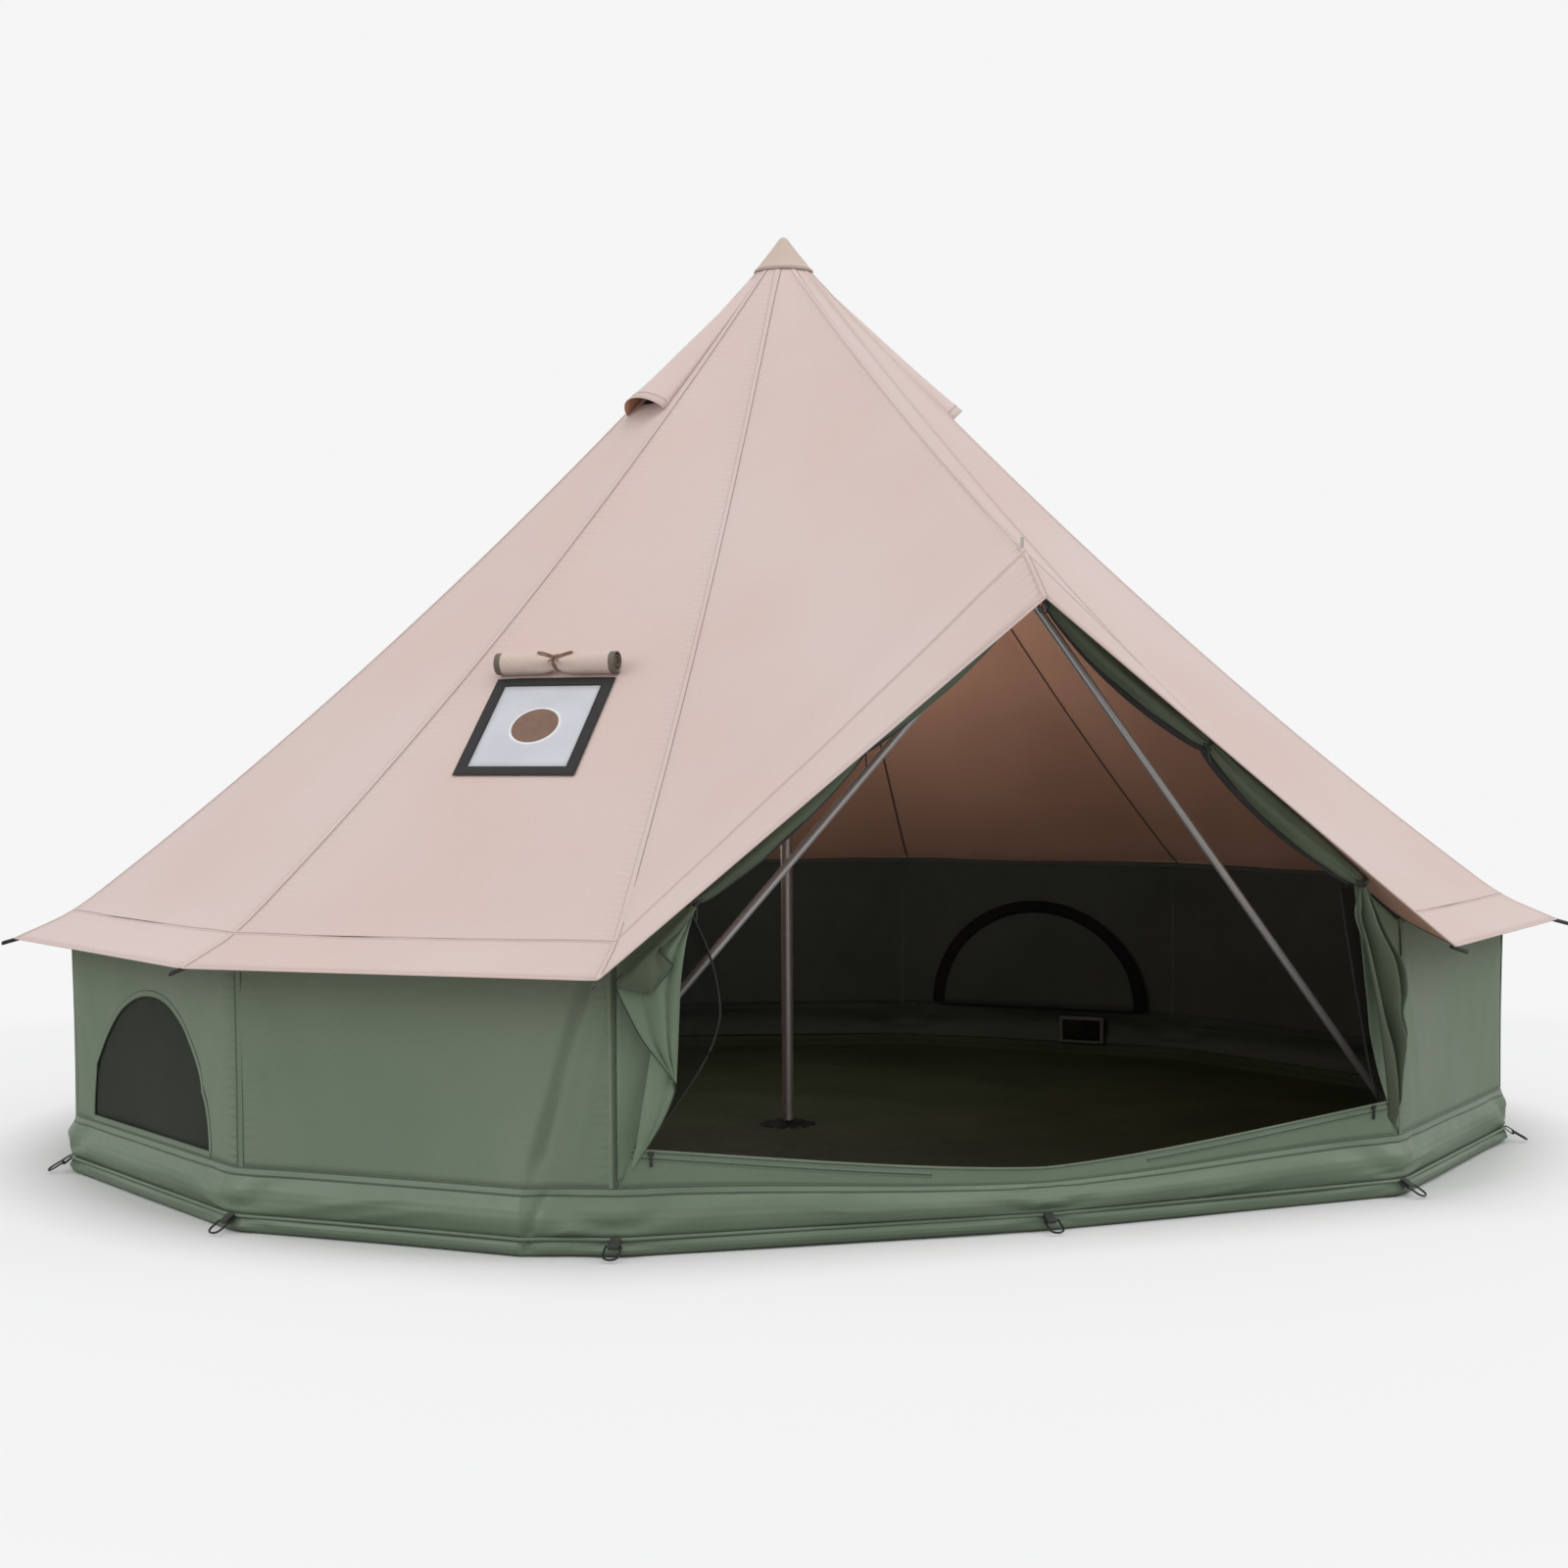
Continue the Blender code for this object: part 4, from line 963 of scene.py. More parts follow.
for panel, side in window_panels.items():
    screen = window_pane(f"window_screen_{side}", panel, screen_depth, screen_edge, window_screen)
    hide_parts(f"window_mesh_{side}")
    window_pane(f"window_flap_{side}", panel, flap_depth, flap_edge_width, flap_cloth)
    window_band(f"window_border_{side}", panel, 1, border_width / 2, wall_seam)
    window_band(f"window_zip_{side}", panel, -1, zip_band_width / 2, zip_band)


# The roof: one cone of sand-pink cotton canvas in twelve gores, drawn down from the apex to the wall line
# with a slight sag, and flared out past it as the eave. Over the door it runs out as a porch with a ridge.
apex_height, cap_height, cap_radius, neck_radius = 2.540, 0.100, 0.083, 0.055
cad_cloth, cad_gap = 0.003, 0.0003
hem_height = apex_height - cap_height - cad_cloth * math.hypot(1, cap_height / cap_radius) - cad_gap
eave_height, eave_reach, roof_sag = 0.610, 0.145, 0.080
ridge_reach, ridge_height, ridge_sag = 1.582, 1.539, 0.025
porch_tip_reach, porch_tip_height = 1.688, 1.424
hem_place, wall_place, eave_place, gore_columns = 1, 9, 10, 20
fold_start, fold_end = 8.75, 9.35
roof_places = [0, 0.5] + [1 + 0.16 * step for step in range(50)]
roof_places += [9, 9.06, 9.12, 9.18, 9.24, 9.30, 9.36, 9.5, 9.66, 9.83, 10]
jack_turns, jack_reach = 10.46, 1.330
roof_tones = ((0.712, 0.578, 0.542, 1), (0.702, 0.540, 0.488, 1))
# The roof's inside tones are browner and darker than its outside: painted colour for the warm daylight coming
# through the canvas, and painted shade inside.
roof_inside_through_light_tones = ((0.560, 0.290, 0.190, 1), (0.610, 0.325, 0.215, 1))
# Darker colour painted into the stitch grooves of the roof's seams and hems as shade.
roof_groove_shade = (0.270, 0.150, 0.115, 1)
roof_slack, roof_wave, corner_fold_depth, porch_hollow = 0.006, 0.006, 0.008, 0.014
hollow_place, hollow_spread, corner_fold_place, corner_fold_spread = 8.55, 0.28, 9.1, 0.9
jack_flat_place, jack_flat_rows, jack_flat_turns = 6.57, 1.15, 0.30

roof_canvas = cloth_finish("roof_canvas", roof_tones, 0.88, patch=0.55, specks=0.035, sheen=0.15,
                           rumple=0.0007, gathered=1.4)
roof_inside_through_light = cloth_finish("roof_inside_through_light", roof_inside_through_light_tones, 0.9, patch=0.5, specks=0.03)
roof_seam = seam_finish("roof_seam", roof_tones, 0.88, 0.0085, roof_groove_shade, groove=0.68, second=0.35,
                        sheen=0.15)
roof_seam_inside = seam_finish("roof_seam_inside", shaded(roof_inside_through_light_tones, 0.22), 0.9, 0.0, roof_groove_shade, 0.2)


def seam_at(index, place):
    """A point down a corner's seam: 0 at the neck, 1 at the cap's hem, 9 at the wall, 10 at the eave."""
    angle, radius = corners[index % len(corners)]
    reach, foot, sag = radius - wall_inset, roof_wall_height, roof_sag
    tip_reach, tip_height = reach + eave_reach, eave_height
    if index % len(corners) == 0:
        reach, foot, sag, tip_reach, tip_height = (ridge_reach, ridge_height, ridge_sag, porch_tip_reach,
                                                   porch_tip_height)
    if place < hem_place:
        away = neck_radius + place * (cap_radius - neck_radius)
        height = hem_height + (cap_radius - away) * (hem_height - foot) / (reach - cap_radius)
    elif place <= wall_place:
        share = (place - hem_place) / (wall_place - hem_place)
        away = cap_radius + share * (reach - cap_radius)
        height = hem_height + share * (foot - hem_height) - sag * 4 * share * (1 - share)
    else:
        share = place - wall_place
        away = reach + share * (tip_reach - reach)
        height = foot + share * (tip_height - foot)
    return Vector((away * math.sin(angle), -away * math.cos(angle), height))


def roof_base(turns, place):
    """A point on the roof before its relief, with the fold at the wall line eased."""
    index, share = int(turns // 1), turns % 1
    if fold_start < place < fold_end:
        part = (place - fold_start) / (fold_end - fold_start)
        ends = [seam_at(index, spot).lerp(seam_at(index + 1, spot), share)
                for spot in (fold_start, wall_place, fold_end)]
        return ends[0].lerp(ends[1], part).lerp(ends[1].lerp(ends[2], part), part)
    return seam_at(index, place).lerp(seam_at(index + 1, place), share)


def roof_relief(turns, place):
    """Slack between the seams, soft waves in the cloth, and folds drawn in from the eave corners."""
    share = turns % 1
    held = math.sin(math.pi * share)
    slope = min(1, max(0, (place - hem_place) / 2)) * min(1, max(0, (eave_place - place) / 1.2))
    spot = Vector((turns, place, 0))
    waves = roof_wave * (ripple(spot, (0.5, 2.4, 1), 5) + 0.45 * ripple(spot, (0.17, 0.9, 1), 11))
    drawn = 0.0
    for anchor, lean in ((0.0, 0.12), (1.0, -0.12), (0.0, 0.26), (1.0, -0.26)):
        line = anchor + lean * (eave_place - place) / 2.0
        low_down = math.exp(-((place - corner_fold_place) / corner_fold_spread) ** 2)
        drawn += corner_fold_depth * crest(share - line, 0.035) * low_down
    relief = (-roof_slack * held + waves * held + drawn * held) * slope
    if turns < 1 or turns >= 11:
        hollow = math.exp(-((place - hollow_place) / hollow_spread) ** 2)
        relief -= porch_hollow * held ** 0.5 * hollow * slope
    beside, below = (turns - jack_turns) / jack_flat_turns, (place - jack_flat_place) / jack_flat_rows
    beside_jack = math.hypot(beside, below)
    return relief * min(1, max(0, (beside_jack - 0.8) / 0.5))


def roof_at(turns, place):
    """A point on the roof's outside with its outward normal."""
    turns %= len(corners)
    point = roof_base(turns, place)
    step, drop = 0.004, 0.02
    across = roof_base(turns + step, place) - roof_base((turns - step) % len(corners), place)
    down = roof_base(turns, min(place + drop, eave_place)) - roof_base(turns, max(place - drop, 0))
    normal = down.cross(across).normalized()
    return point + normal * roof_relief(turns, place), normal


def raised(spot, lift):
    """A surface point moved out along its normal."""
    return spot[0] + spot[1] * lift


def gore_width(index, place):
    """Width of a gore at a place down its seams."""
    return (seam_at(index + 1, place) - seam_at(index, place)).length


def roof():
    """The whole roof in one sheet, whose gores keep their own straight grain."""
    count = len(corners) * gore_columns
    grid = [[roof_at(column / gore_columns, place)[0] for column in range(count)] for place in roof_places]
    distance = [min(column % gore_columns, -column % gore_columns) / gore_columns
                * gore_width(column // gore_columns, place)
                for place in roof_places for column in range(count)]
    made = sew("roof", [grid], [roof_canvas, roof_inside_through_light], ring=True, distance=distance)
    for face, loops in zip(made.data.polygons, range(0, len(made.data.loops), 4)):
        row, column = divmod(face.index, count)
        gore, step = divmod(column, gore_columns)
        around = ((row, step), (row + 1, step), (row + 1, step + 1), (row, step + 1))
        for loop, (line, part) in enumerate(around):
            uv = made.data.uv_layers[0].data[loops + loop].uv
            uv[0] = (part / gore_columns - 0.5) * gore_width(gore, roof_places[line]) + 2 * gore
    panels = [f"roof_panel_{number:02d}" for number in range(1, 11)]
    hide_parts(*panels, "porch_panel_left", "porch_panel_right")
    fix(made)


def on_gore(turns, place, offset, depth=1):
    """Roof point at an offset in metres across from a seam, seen from outside or inside."""
    width = max(0.02, gore_width(int(turns) % len(corners), place))
    point, normal = roof_at(turns + offset / width * depth, place)
    return point - normal * (canvas_thickness if depth < 0 else 0), normal * depth


def roof_seams():
    """A felled seam down each gore's edge, outside and inside."""
    for name, depth, half, finish in (("outside", 1, 0.0115, roof_seam),
                                      ("inside", -1, 0.0045, roof_seam_inside)):
        runs = [[lambda offset, place=0.4 + 9.58 * row / 110, index=index, depth=depth:
                 on_gore(index, place, offset, depth) for row in range(111)] for index in range(len(corners))]
        strip(f"roof_seams_{name}", runs, half, 0.0005, finish)


roof()
roof_seams()


# The eave and porch edge: a turned hem with one row of stitches at the wall line, a piped lip at its very
# edge, and a small black webbing loop for a guy at each corner.
hem_row_place, hem_row_half = 9.06, 0.006
lip_radius, lip_drop = 0.0026, 0.0010
loop_length, loop_width, loop_rise, loop_start, loop_neck = 0.035, 0.009, 0.0022, -0.014, 0.006
loop_droop, loop_twist = 15 * degree, 55 * degree
single_row = seam_finish("hem_row", roof_tones, 0.88, 0.0, roof_groove_shade, groove=0.42, sheen=0.15)
porch_row = seam_finish("porch_hem_row", roof_tones, 0.88, 0.0, roof_groove_shade, groove=0.22, sheen=0.15)
lip_cloth = cloth_finish("hem_lip", shaded(roof_tones, 1.05), 0.85)


def hem_spot(turns, offset):
    """A point beside the hem's row of stitches, at an offset in metres down the roof."""
    run = (roof_at(turns, 9.3)[0] - roof_at(turns, 9.0)[0]).length / 0.3
    return roof_at(turns, hem_row_place + offset / run)


def eave():
    """The row of stitches, the lip and the loops."""
    runs = [[lambda offset, turns=index + step / gore_columns: hem_spot(turns, offset)
             for step in range(gore_columns + 1)] for index in range(len(corners))]
    strip("hem_rows", runs[1:11], hem_row_half, 0.0006, single_row)
    strip("porch_hem_rows", [runs[0], runs[11]], hem_row_half, 0.0006, porch_row)
    steps = len(corners) * gore_columns
    edge = [roof_at(step / gore_columns, eave_place)[0] - upright * lip_drop for step in range(steps)]
    made = cord_tube("eave_lip", [edge], lip_radius, lip_cloth, closed=True)
    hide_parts("eave_binding")
    loops = []
    for index in range(1, len(corners)):
        tip = roof_at(index, eave_place)[0] - upright * 0.005
        away = outward(index) * math.cos(loop_droop) - upright * math.sin(loop_droop)
        level = upright.cross(outward(index)) * math.cos(loop_twist) + upright * math.sin(loop_twist)
        face = level.cross(away)
        fold = [(loop_start, loop_rise), (loop_neck, loop_rise)]
        fold += [(loop_length * (0.7 + 0.25 * math.cos(turn)), loop_rise * math.sin(turn))
                 for turn in (math.pi * (0.5 - k / 8) for k in range(9))]
        fold += [(loop_neck, -loop_rise), (loop_start, -loop_rise * 0.4)]
        loops.append([[tip + away * out + face * rise + level * loop_width * (k / 3 - 0.5) for k in range(4)]
                      for out, rise in fold])
    fix(sew("guy_loops", loops, [black_webbing], thickness=0.0012, side=0))


eave()


# The apex cap: a small doubled cone of tan canvas, hemmed and sewn over the top of the gores. It is rounded
# at its tip and waves slightly towards its hem.
cap_tones = ((0.600, 0.475, 0.400, 1), (0.650, 0.520, 0.445, 1))
cap_profile = ((0.0004, 0.0008), (0.0065, 0.0018), (0.0120, 0.0062), (0.0180, 0.0145), (0.031, 0.0320),
               (0.046, 0.0515), (0.061, 0.0705), (0.075, 0.0890), (0.0835, 0.0990), (0.0850, 0.1015))
cap_ripple, cap_hem_place, cap_hem_half, cap_hem_pace = 0.014, 7.75, 0.005, 70
cap_canvas = cloth_finish("cap_canvas", cap_tones, 0.88, patch=0.12, specks=0.05)
cap_hem = seam_finish("cap_hem", cap_tones, 0.88, 0.0, roof_groove_shade, groove=0.5)


def cap_at(bearing, place):
    """A point on the cap and its outward normal, at a place from 0 at the tip to 9 at the hem."""
    index = min(int(place), len(cap_profile) - 2)
    (near, high), (far, low) = cap_profile[index], cap_profile[index + 1]
    part = place - index
    away, drop = near + (far - near) * part, high + (low - high) * part
    away *= 1 + cap_ripple * math.cos(len(corners) * bearing) * away / cap_radius
    out = Vector((math.sin(bearing), -math.cos(bearing), 0))
    normal = (out * (low - high) + upright * (far - near)).normalized()
    return out * away + upright * (apex_height - drop), normal


def apex_cap():
    """The cone with a rounded tip, a slightly flared hem and a sewn band."""
    bearings = arc(72)[:-1]
    rows = [[cap_at(bearing, place)[0] for bearing in bearings] for place in range(len(cap_profile))]
    made = sew("apex_cap_canvas", [rows], [cap_canvas], thickness=0.0018, ring=True)
    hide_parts("apex_cap")
    fix(made)
    run = [lambda offset, bearing=bearing: cap_at(bearing, cap_hem_place + offset * cap_hem_pace)
           for bearing in bearings + [0]]
    strip("apex_cap_hem", [run], cap_hem_half, 0.0005, cap_hem)


apex_cap()


# The vent hoods: two canvas hoods sewn on under the cap, one each side, held open down the slope over a
# screened vent in the roof. The screen is dark mesh, and its dark colour is also painted shade for the
# opening under the hood.
hood_gores = {"right": 2, "left": 9}
hood_top, hood_lip, hood_rise, hood_edge = 0.100, 0.470, 0.060, 0.12
hood_steps, hood_columns, hood_hem_share = 28, 32, 0.955
vent_edge, vent_start, vent_length, vent_lift, hood_sway = 0.22, 0.30, 0.62, 0.0010, 0.006
# Painted shade: the screen's dark tones stand for the mesh and for the shaded opening under it.
vent_shade_tones = ((0.020, 0.015, 0.012, 1), (0.030, 0.022, 0.018, 1))
# The hood's underside takes the same painted through-light tones.
hood_inside = cloth_finish("hood_inside", roof_inside_through_light_tones, 0.9)
vent_screen = screen_finish("vent_screen", vent_shade_tones, 0.25)


def place_at_reach(turns, reach):
    """The place down the roof where a line over a bearing reaches a distance from the pole."""
    low, high = hem_place, wall_place
    for _ in range(30):
        middle = (low + high) / 2
        if roof_base(turns, middle).xy.length < reach:
            low = middle
        else:
            high = middle
    return low


def down_hood(gore, share):
    """The place down the roof at a share of a hood's length."""
    top, lip = place_at_reach(gore + 0.5, hood_top), place_at_reach(gore + 0.5, hood_lip)
    return top + share * (lip - top)


def hood_at(gore, across, share):
    """A point on a hood's canvas and the roof's normal there."""
    point, normal = roof_at(gore + hood_edge + (1 - 2 * hood_edge) * across, down_hood(gore, share))
    swell = math.sin(math.pi * min(1, max(0, across))) ** (1.0 - 0.45 * share)
    sway = hood_sway * share * ripple((across, share, gore), (0.3, 0.5, 1))
    return point + normal * (vent_lift + (hood_rise * share + sway) * swell), normal


def vent_hood(side, gore):
    """One hood with its hemmed lip and the screen under it."""
    rows = [[hood_at(gore, column / hood_columns, step / hood_steps)[0] for column in range(hood_columns + 1)]
            for step in range(hood_steps + 1)]
    made = sew(f"vent_hood_cloth_{side}", [rows], [roof_canvas, hood_inside], thickness=0.0012)
    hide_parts(f"vent_hood_{side}")
    fix(made)
    run = [lambda offset, across=column / 40: hood_at(gore, across, hood_hem_share + offset / 0.5)
           for column in range(41)]
    strip(f"vent_hood_hem_{side}", [run], hem_row_half, 0.0005, single_row)
    rows = [[raised(roof_at(gore + vent_edge + (1 - 2 * vent_edge) * k / 8,
                            down_hood(gore, vent_start + vent_length * step / 8)), vent_lift)
             for k in range(9)] for step in range(9)]
    fix(sew(f"vent_screen_{side}", [rows], [vent_screen], thickness=0))


for side, gore in hood_gores.items():
    vent_hood(side, gore)


# The stove jack: a heat-proof silvered panel in a black border on the roof left of the door, with a round
# brown guide for the stovepipe. Its rain flap is rolled up over it and tied at the middle.
jack_width, jack_height, jack_border, jack_tuck = 0.315, 0.345, 0.030, 0.004
disc_radius, disc_ring, disc_turn_down = 0.061, 0.005, 0.0012
border_lift, panel_lift, ring_lift, disc_lift = 0.0038, 0.0040, 0.0052, 0.0062
heat_tones = ((0.600, 0.605, 0.650, 1), (0.660, 0.665, 0.710, 1))
border_tones = ((0.018, 0.018, 0.017, 1), (0.028, 0.028, 0.026, 1))
disc_tones = ((0.190, 0.108, 0.072, 1), (0.230, 0.132, 0.090, 1))
ring_tones = ((0.78, 0.78, 0.79, 1), (0.84, 0.84, 0.85, 1))
flap_radius, flap_length, flap_turns, flap_core, flap_drop = 0.0295, 0.320, 2.6, 0.007, 0.005
flap_pinch, flap_pinch_reach, flap_tie_radius, bow_reach, tail_length = 0.40, 0.07, 0.0019, 0.046, 0.020
flap_crumple, flap_crumple_reach, flap_rumple, flap_start_turn = 0.0022, 0.14, 0.0012, 0.9
flap_tones = ((0.660, 0.520, 0.450, 1), (0.700, 0.560, 0.490, 1))
flap_end_tones = ((0.150, 0.120, 0.092, 1), (0.175, 0.145, 0.112, 1))
tie_tones = ((0.25, 0.13, 0.09, 1), (0.30, 0.17, 0.12, 1))

heat_cloth = cloth_finish("heat_cloth", heat_tones, 0.45, thread=0.004, patch=0.1, specks=0.03, rumple=0.0012)
jack_border_cloth = seam_finish("jack_border", border_tones, 0.7, 0.0115, border_tones[0], thread=1.8,
                                sheen=0.0)
disc_cloth = cloth_finish("pipe_guide", disc_tones, 0.7, patch=0.03)
ring_cloth = cloth_finish("pipe_guide_ring", ring_tones, 0.7, patch=0.03)
flap_canvas = cloth_finish("flap_canvas", flap_tones, 0.88, patch=0.15)
flap_edge = cloth_finish("flap_edge", flap_end_tones, 0.8, patch=0.1)
tie_cloth = cloth_finish("tie_tape", tie_tones, 0.8, patch=0.02)

jack_place = place_at_reach(jack_turns, jack_reach)
jack_point, jack_normal = roof_at(jack_turns, jack_place)
jack_along = (seam_at(11, jack_place) - seam_at(10, jack_place)).normalized()
jack_up = jack_normal.cross(jack_along)
roof_mesh = bpy.data.objects["roof"].data
roof_shell = BVHTree.FromPolygons([spot.co for spot in roof_mesh.vertices],
                                  [tuple(face.vertices) for face in roof_mesh.polygons])


def jack_at(x, y, lift):
    """A point on the jack: across and up its middle, laid on the roof's cloth and raised."""
    start = jack_point + jack_along * x + jack_up * y
    hit = roof_shell.ray_cast(start + jack_normal * 0.2, -jack_normal)[0]
    return (hit or start) + jack_normal * lift


def jack_border_run(start, end):
    """One side of the border, mitred at its ends."""
    length = math.dist(start, end)
    along = ((end[0] - start[0]) / length, (end[1] - start[1]) / length)
    out = (-along[1], along[0])

    def spot(offset, step):
        """A point across the border at a step of its length; its two ends run out with the mitre."""
        part = -offset if step == 0 else length + offset if step == 20 else length * step / 20
        return jack_at(start[0] + along[0] * part + out[0] * offset,
                       start[1] + along[1] * part + out[1] * offset, border_lift), jack_normal

    return [lambda offset, step=step: spot(offset, step) for step in range(21)]


def pipe_ring(name, inner, outer, lift, finish):
    """A flat round patch with its edge turned down."""
    rows = []
    for ring in range(7):
        reach = inner + (outer - inner) * (1 - ring / 6)
        height = lift - (disc_turn_down if ring == 0 else 0)
        rows.append([jack_at(reach * math.cos(turn), reach * math.sin(turn), height)
                     for turn in arc(48)[:-1]])
    fix(sew(name, [rows], [finish], thickness=0, ring=True))


def stove_jack():
    """Heat panel, border, pipe guide and ring."""
    half_width, half_height = [size / 2 - jack_border + jack_tuck for size in (jack_width, jack_height)]
    rows = [[jack_at(half_width * (2 * k / 12 - 1), half_height * (1 - 2 * row / 12), panel_lift)
             for k in range(13)] for row in range(13)]
    panel = sew("heat_panel", [rows], [heat_cloth], thickness=0.0016)
    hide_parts("stove_jack_panel")
    fix(panel)
    x, y = (jack_width - jack_border) / 2, (jack_height - jack_border) / 2
    ends = ((-x, y), (x, y), (x, -y), (-x, -y))
    runs = [jack_border_run(ends[k], ends[(k + 1) % 4]) for k in range(4)]
    border = strip("jack_border", runs, jack_border / 2, 0.0016, jack_border_cloth)
    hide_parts("stove_jack_frame")
    pipe_ring("pipe_guide_ring", disc_radius - 0.004, disc_radius + disc_ring, ring_lift, ring_cloth)
    pipe_ring("pipe_guide", 0.0005, disc_radius, disc_lift, disc_cloth)


def flap_roll():
    """The rolled flap: a spiral of cloth, bound at its side edges and pinched by its tie."""
    low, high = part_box("stove_flap_roll")
    centre = (low + high) / 2 - jack_up * flap_drop
    steps, length_steps = 84, 60
    rows = []
    for index in range(length_steps + 1):
        x = index / length_steps - 0.5
        pinch = 1 - flap_pinch * math.exp(-(x / flap_pinch_reach) ** 2)
        row = []
        for step in range(steps + 1):
            share = step / steps
            turn = 2 * math.pi * flap_turns * share + flap_start_turn
            reach = (flap_core + (flap_radius - flap_core) * share) * pinch
            reach += flap_crumple * math.sin(5 * turn + 3) * math.exp(-(x / flap_crumple_reach) ** 2)
            reach += flap_rumple * ripple((x * 8, turn, 0), (1, 1.6, 1), 2)
            row.append(centre + jack_along * x * flap_length + jack_up * reach * math.cos(turn)
                       + jack_normal * reach * math.sin(turn))
        rows.append(row)
    made = sew("stove_flap", [rows], [flap_canvas, flap_edge], thickness=0.0014, side=0)
    made.modifiers[0].material_offset = 0
    for face in made.data.polygons:
        end = min(face.index // steps, length_steps - 1 - face.index // steps)
        face.material_index = int(end < 3)
    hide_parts("stove_flap_roll")
    fix(made, "stove_flap")
    lines = [[centre + (jack_up * math.cos(turn) + jack_normal * math.sin(turn)) * flap_radius * 0.66
              + jack_along * (0.004 * math.sin(2 * turn) + side * 0.002) for turn in arc(28)]
             for side in (-1, 1)]
    knot = centre + jack_normal * flap_radius * 0.68
    for side in (-1, 1):
        lines.append([knot + jack_normal * (0.004 * math.sin(turn / 2) + 0.004 * math.sin(turn / 2) ** 2)
                      + jack_up * (0.004 * math.sin(turn) * side + 0.006 * math.sin(turn / 2))
                      + jack_along * side * bow_reach * math.sin(turn / 2) for turn in arc(24)])
        lines.append([knot + jack_along * side * 0.012 * part ** 1.2 - jack_up * tail_length * part
                      + jack_normal * 0.004 * (1 - part) for part in arc(8, 1)])
    cord_tube("flap_tie", lines, flap_tie_radius, tie_cloth, body="stove_flap")


stove_jack()
flap_roll()


# The rolled doors: each half door is rolled up under the porch edge, thin at the peak and full in the middle,
# with its insect screen rolled beside it, and held by corded ties with toggles.
tie_along, roll_rows, roll_columns = 0.165, 110, 56
roll_peak_radius, roll_middle_radius, roll_tie_radius = 0.012, 0.030, 0.017
roll_peak_share, roll_seat_share, roll_clearance, roll_flatness = 0.03, 0.60, 0.0014, 1.25
door_tones = ((0.155, 0.216, 0.137, 1), (0.194, 0.257, 0.172, 1))
# The rolls and the turned-over collar show a darker copy of the door canvas: painted shade under the porch.
shaded_door_cloth_tones = ((0.088, 0.114, 0.071, 1), (0.110, 0.138, 0.088, 1))
mesh_roll_tones = ((0.020, 0.018, 0.015, 1), (0.032, 0.028, 0.024, 1))
tie_shares, tie_pinch, tie_spread, tie_reach = (0.50, 0.985), 0.20, 0.022, 0.84
lip_turn, tie_radius, tie_gap, toggle_radius = 2.4, 0.0020, 0.0032, 0.0044
roll_body, roll_lip = 0.84, 0.17
toggle_places = (-0.015, -0.0135, -0.005, 0.005, 0.0135, 0.015)
peak_loop_drop, peak_loop_radius = 0.036, 0.0021

door_canvas = cloth_finish("door_canvas", door_tones, 0.72, patch=0.25, rumple=0.0012)
shaded_door_cloth = cloth_finish("shaded_door_cloth", shaded_door_cloth_tones, 0.8, patch=0.25, rumple=0.0012, shine=0.3)
rolled_mesh = cloth_finish("rolled_mesh", mesh_roll_tones, 0.75, thread=0.003, patch=0.1, specks=0.2)


def mirrored(point, flip):
    """The point itself, or its mirror image on the other side of the door."""
    return Vector((flip * point.x, point.y, point.z))


def roll_at(share):
    """Centre, radius, run and two square directions of the right-hand roll, from peak to lower tie."""
    edge = wall_place + roll_seat_share
    tie_share = 1 - tie_along / (door_corner_radius * math.sin(door_corner_angle))
    middle, last = tie_shares
    part = share / middle if share < middle else min(1, (share - middle) / (last - middle))
    ends = roll_peak_radius + (roll_tie_radius - roll_peak_radius) * share
    radius = ends + (roll_middle_radius - ends) * math.sin(math.pi * part) ** 0.7
    across = roll_peak_share + share * (tie_share - roll_peak_share)
    first, second = seam_at(0, edge), seam_at(1, edge)
    down = (seam_at(0, 10) - seam_at(0, 9)).lerp(seam_at(1, 10) - seam_at(1, 9), across)
    normal = down.cross(second - first).normalized()
    run = (second - first).normalized()
    centre = first.lerp(second, across) - normal * (cad_cloth + radius + roll_clearance)
    return centre, radius, run, run.cross(normal).normalized(), normal


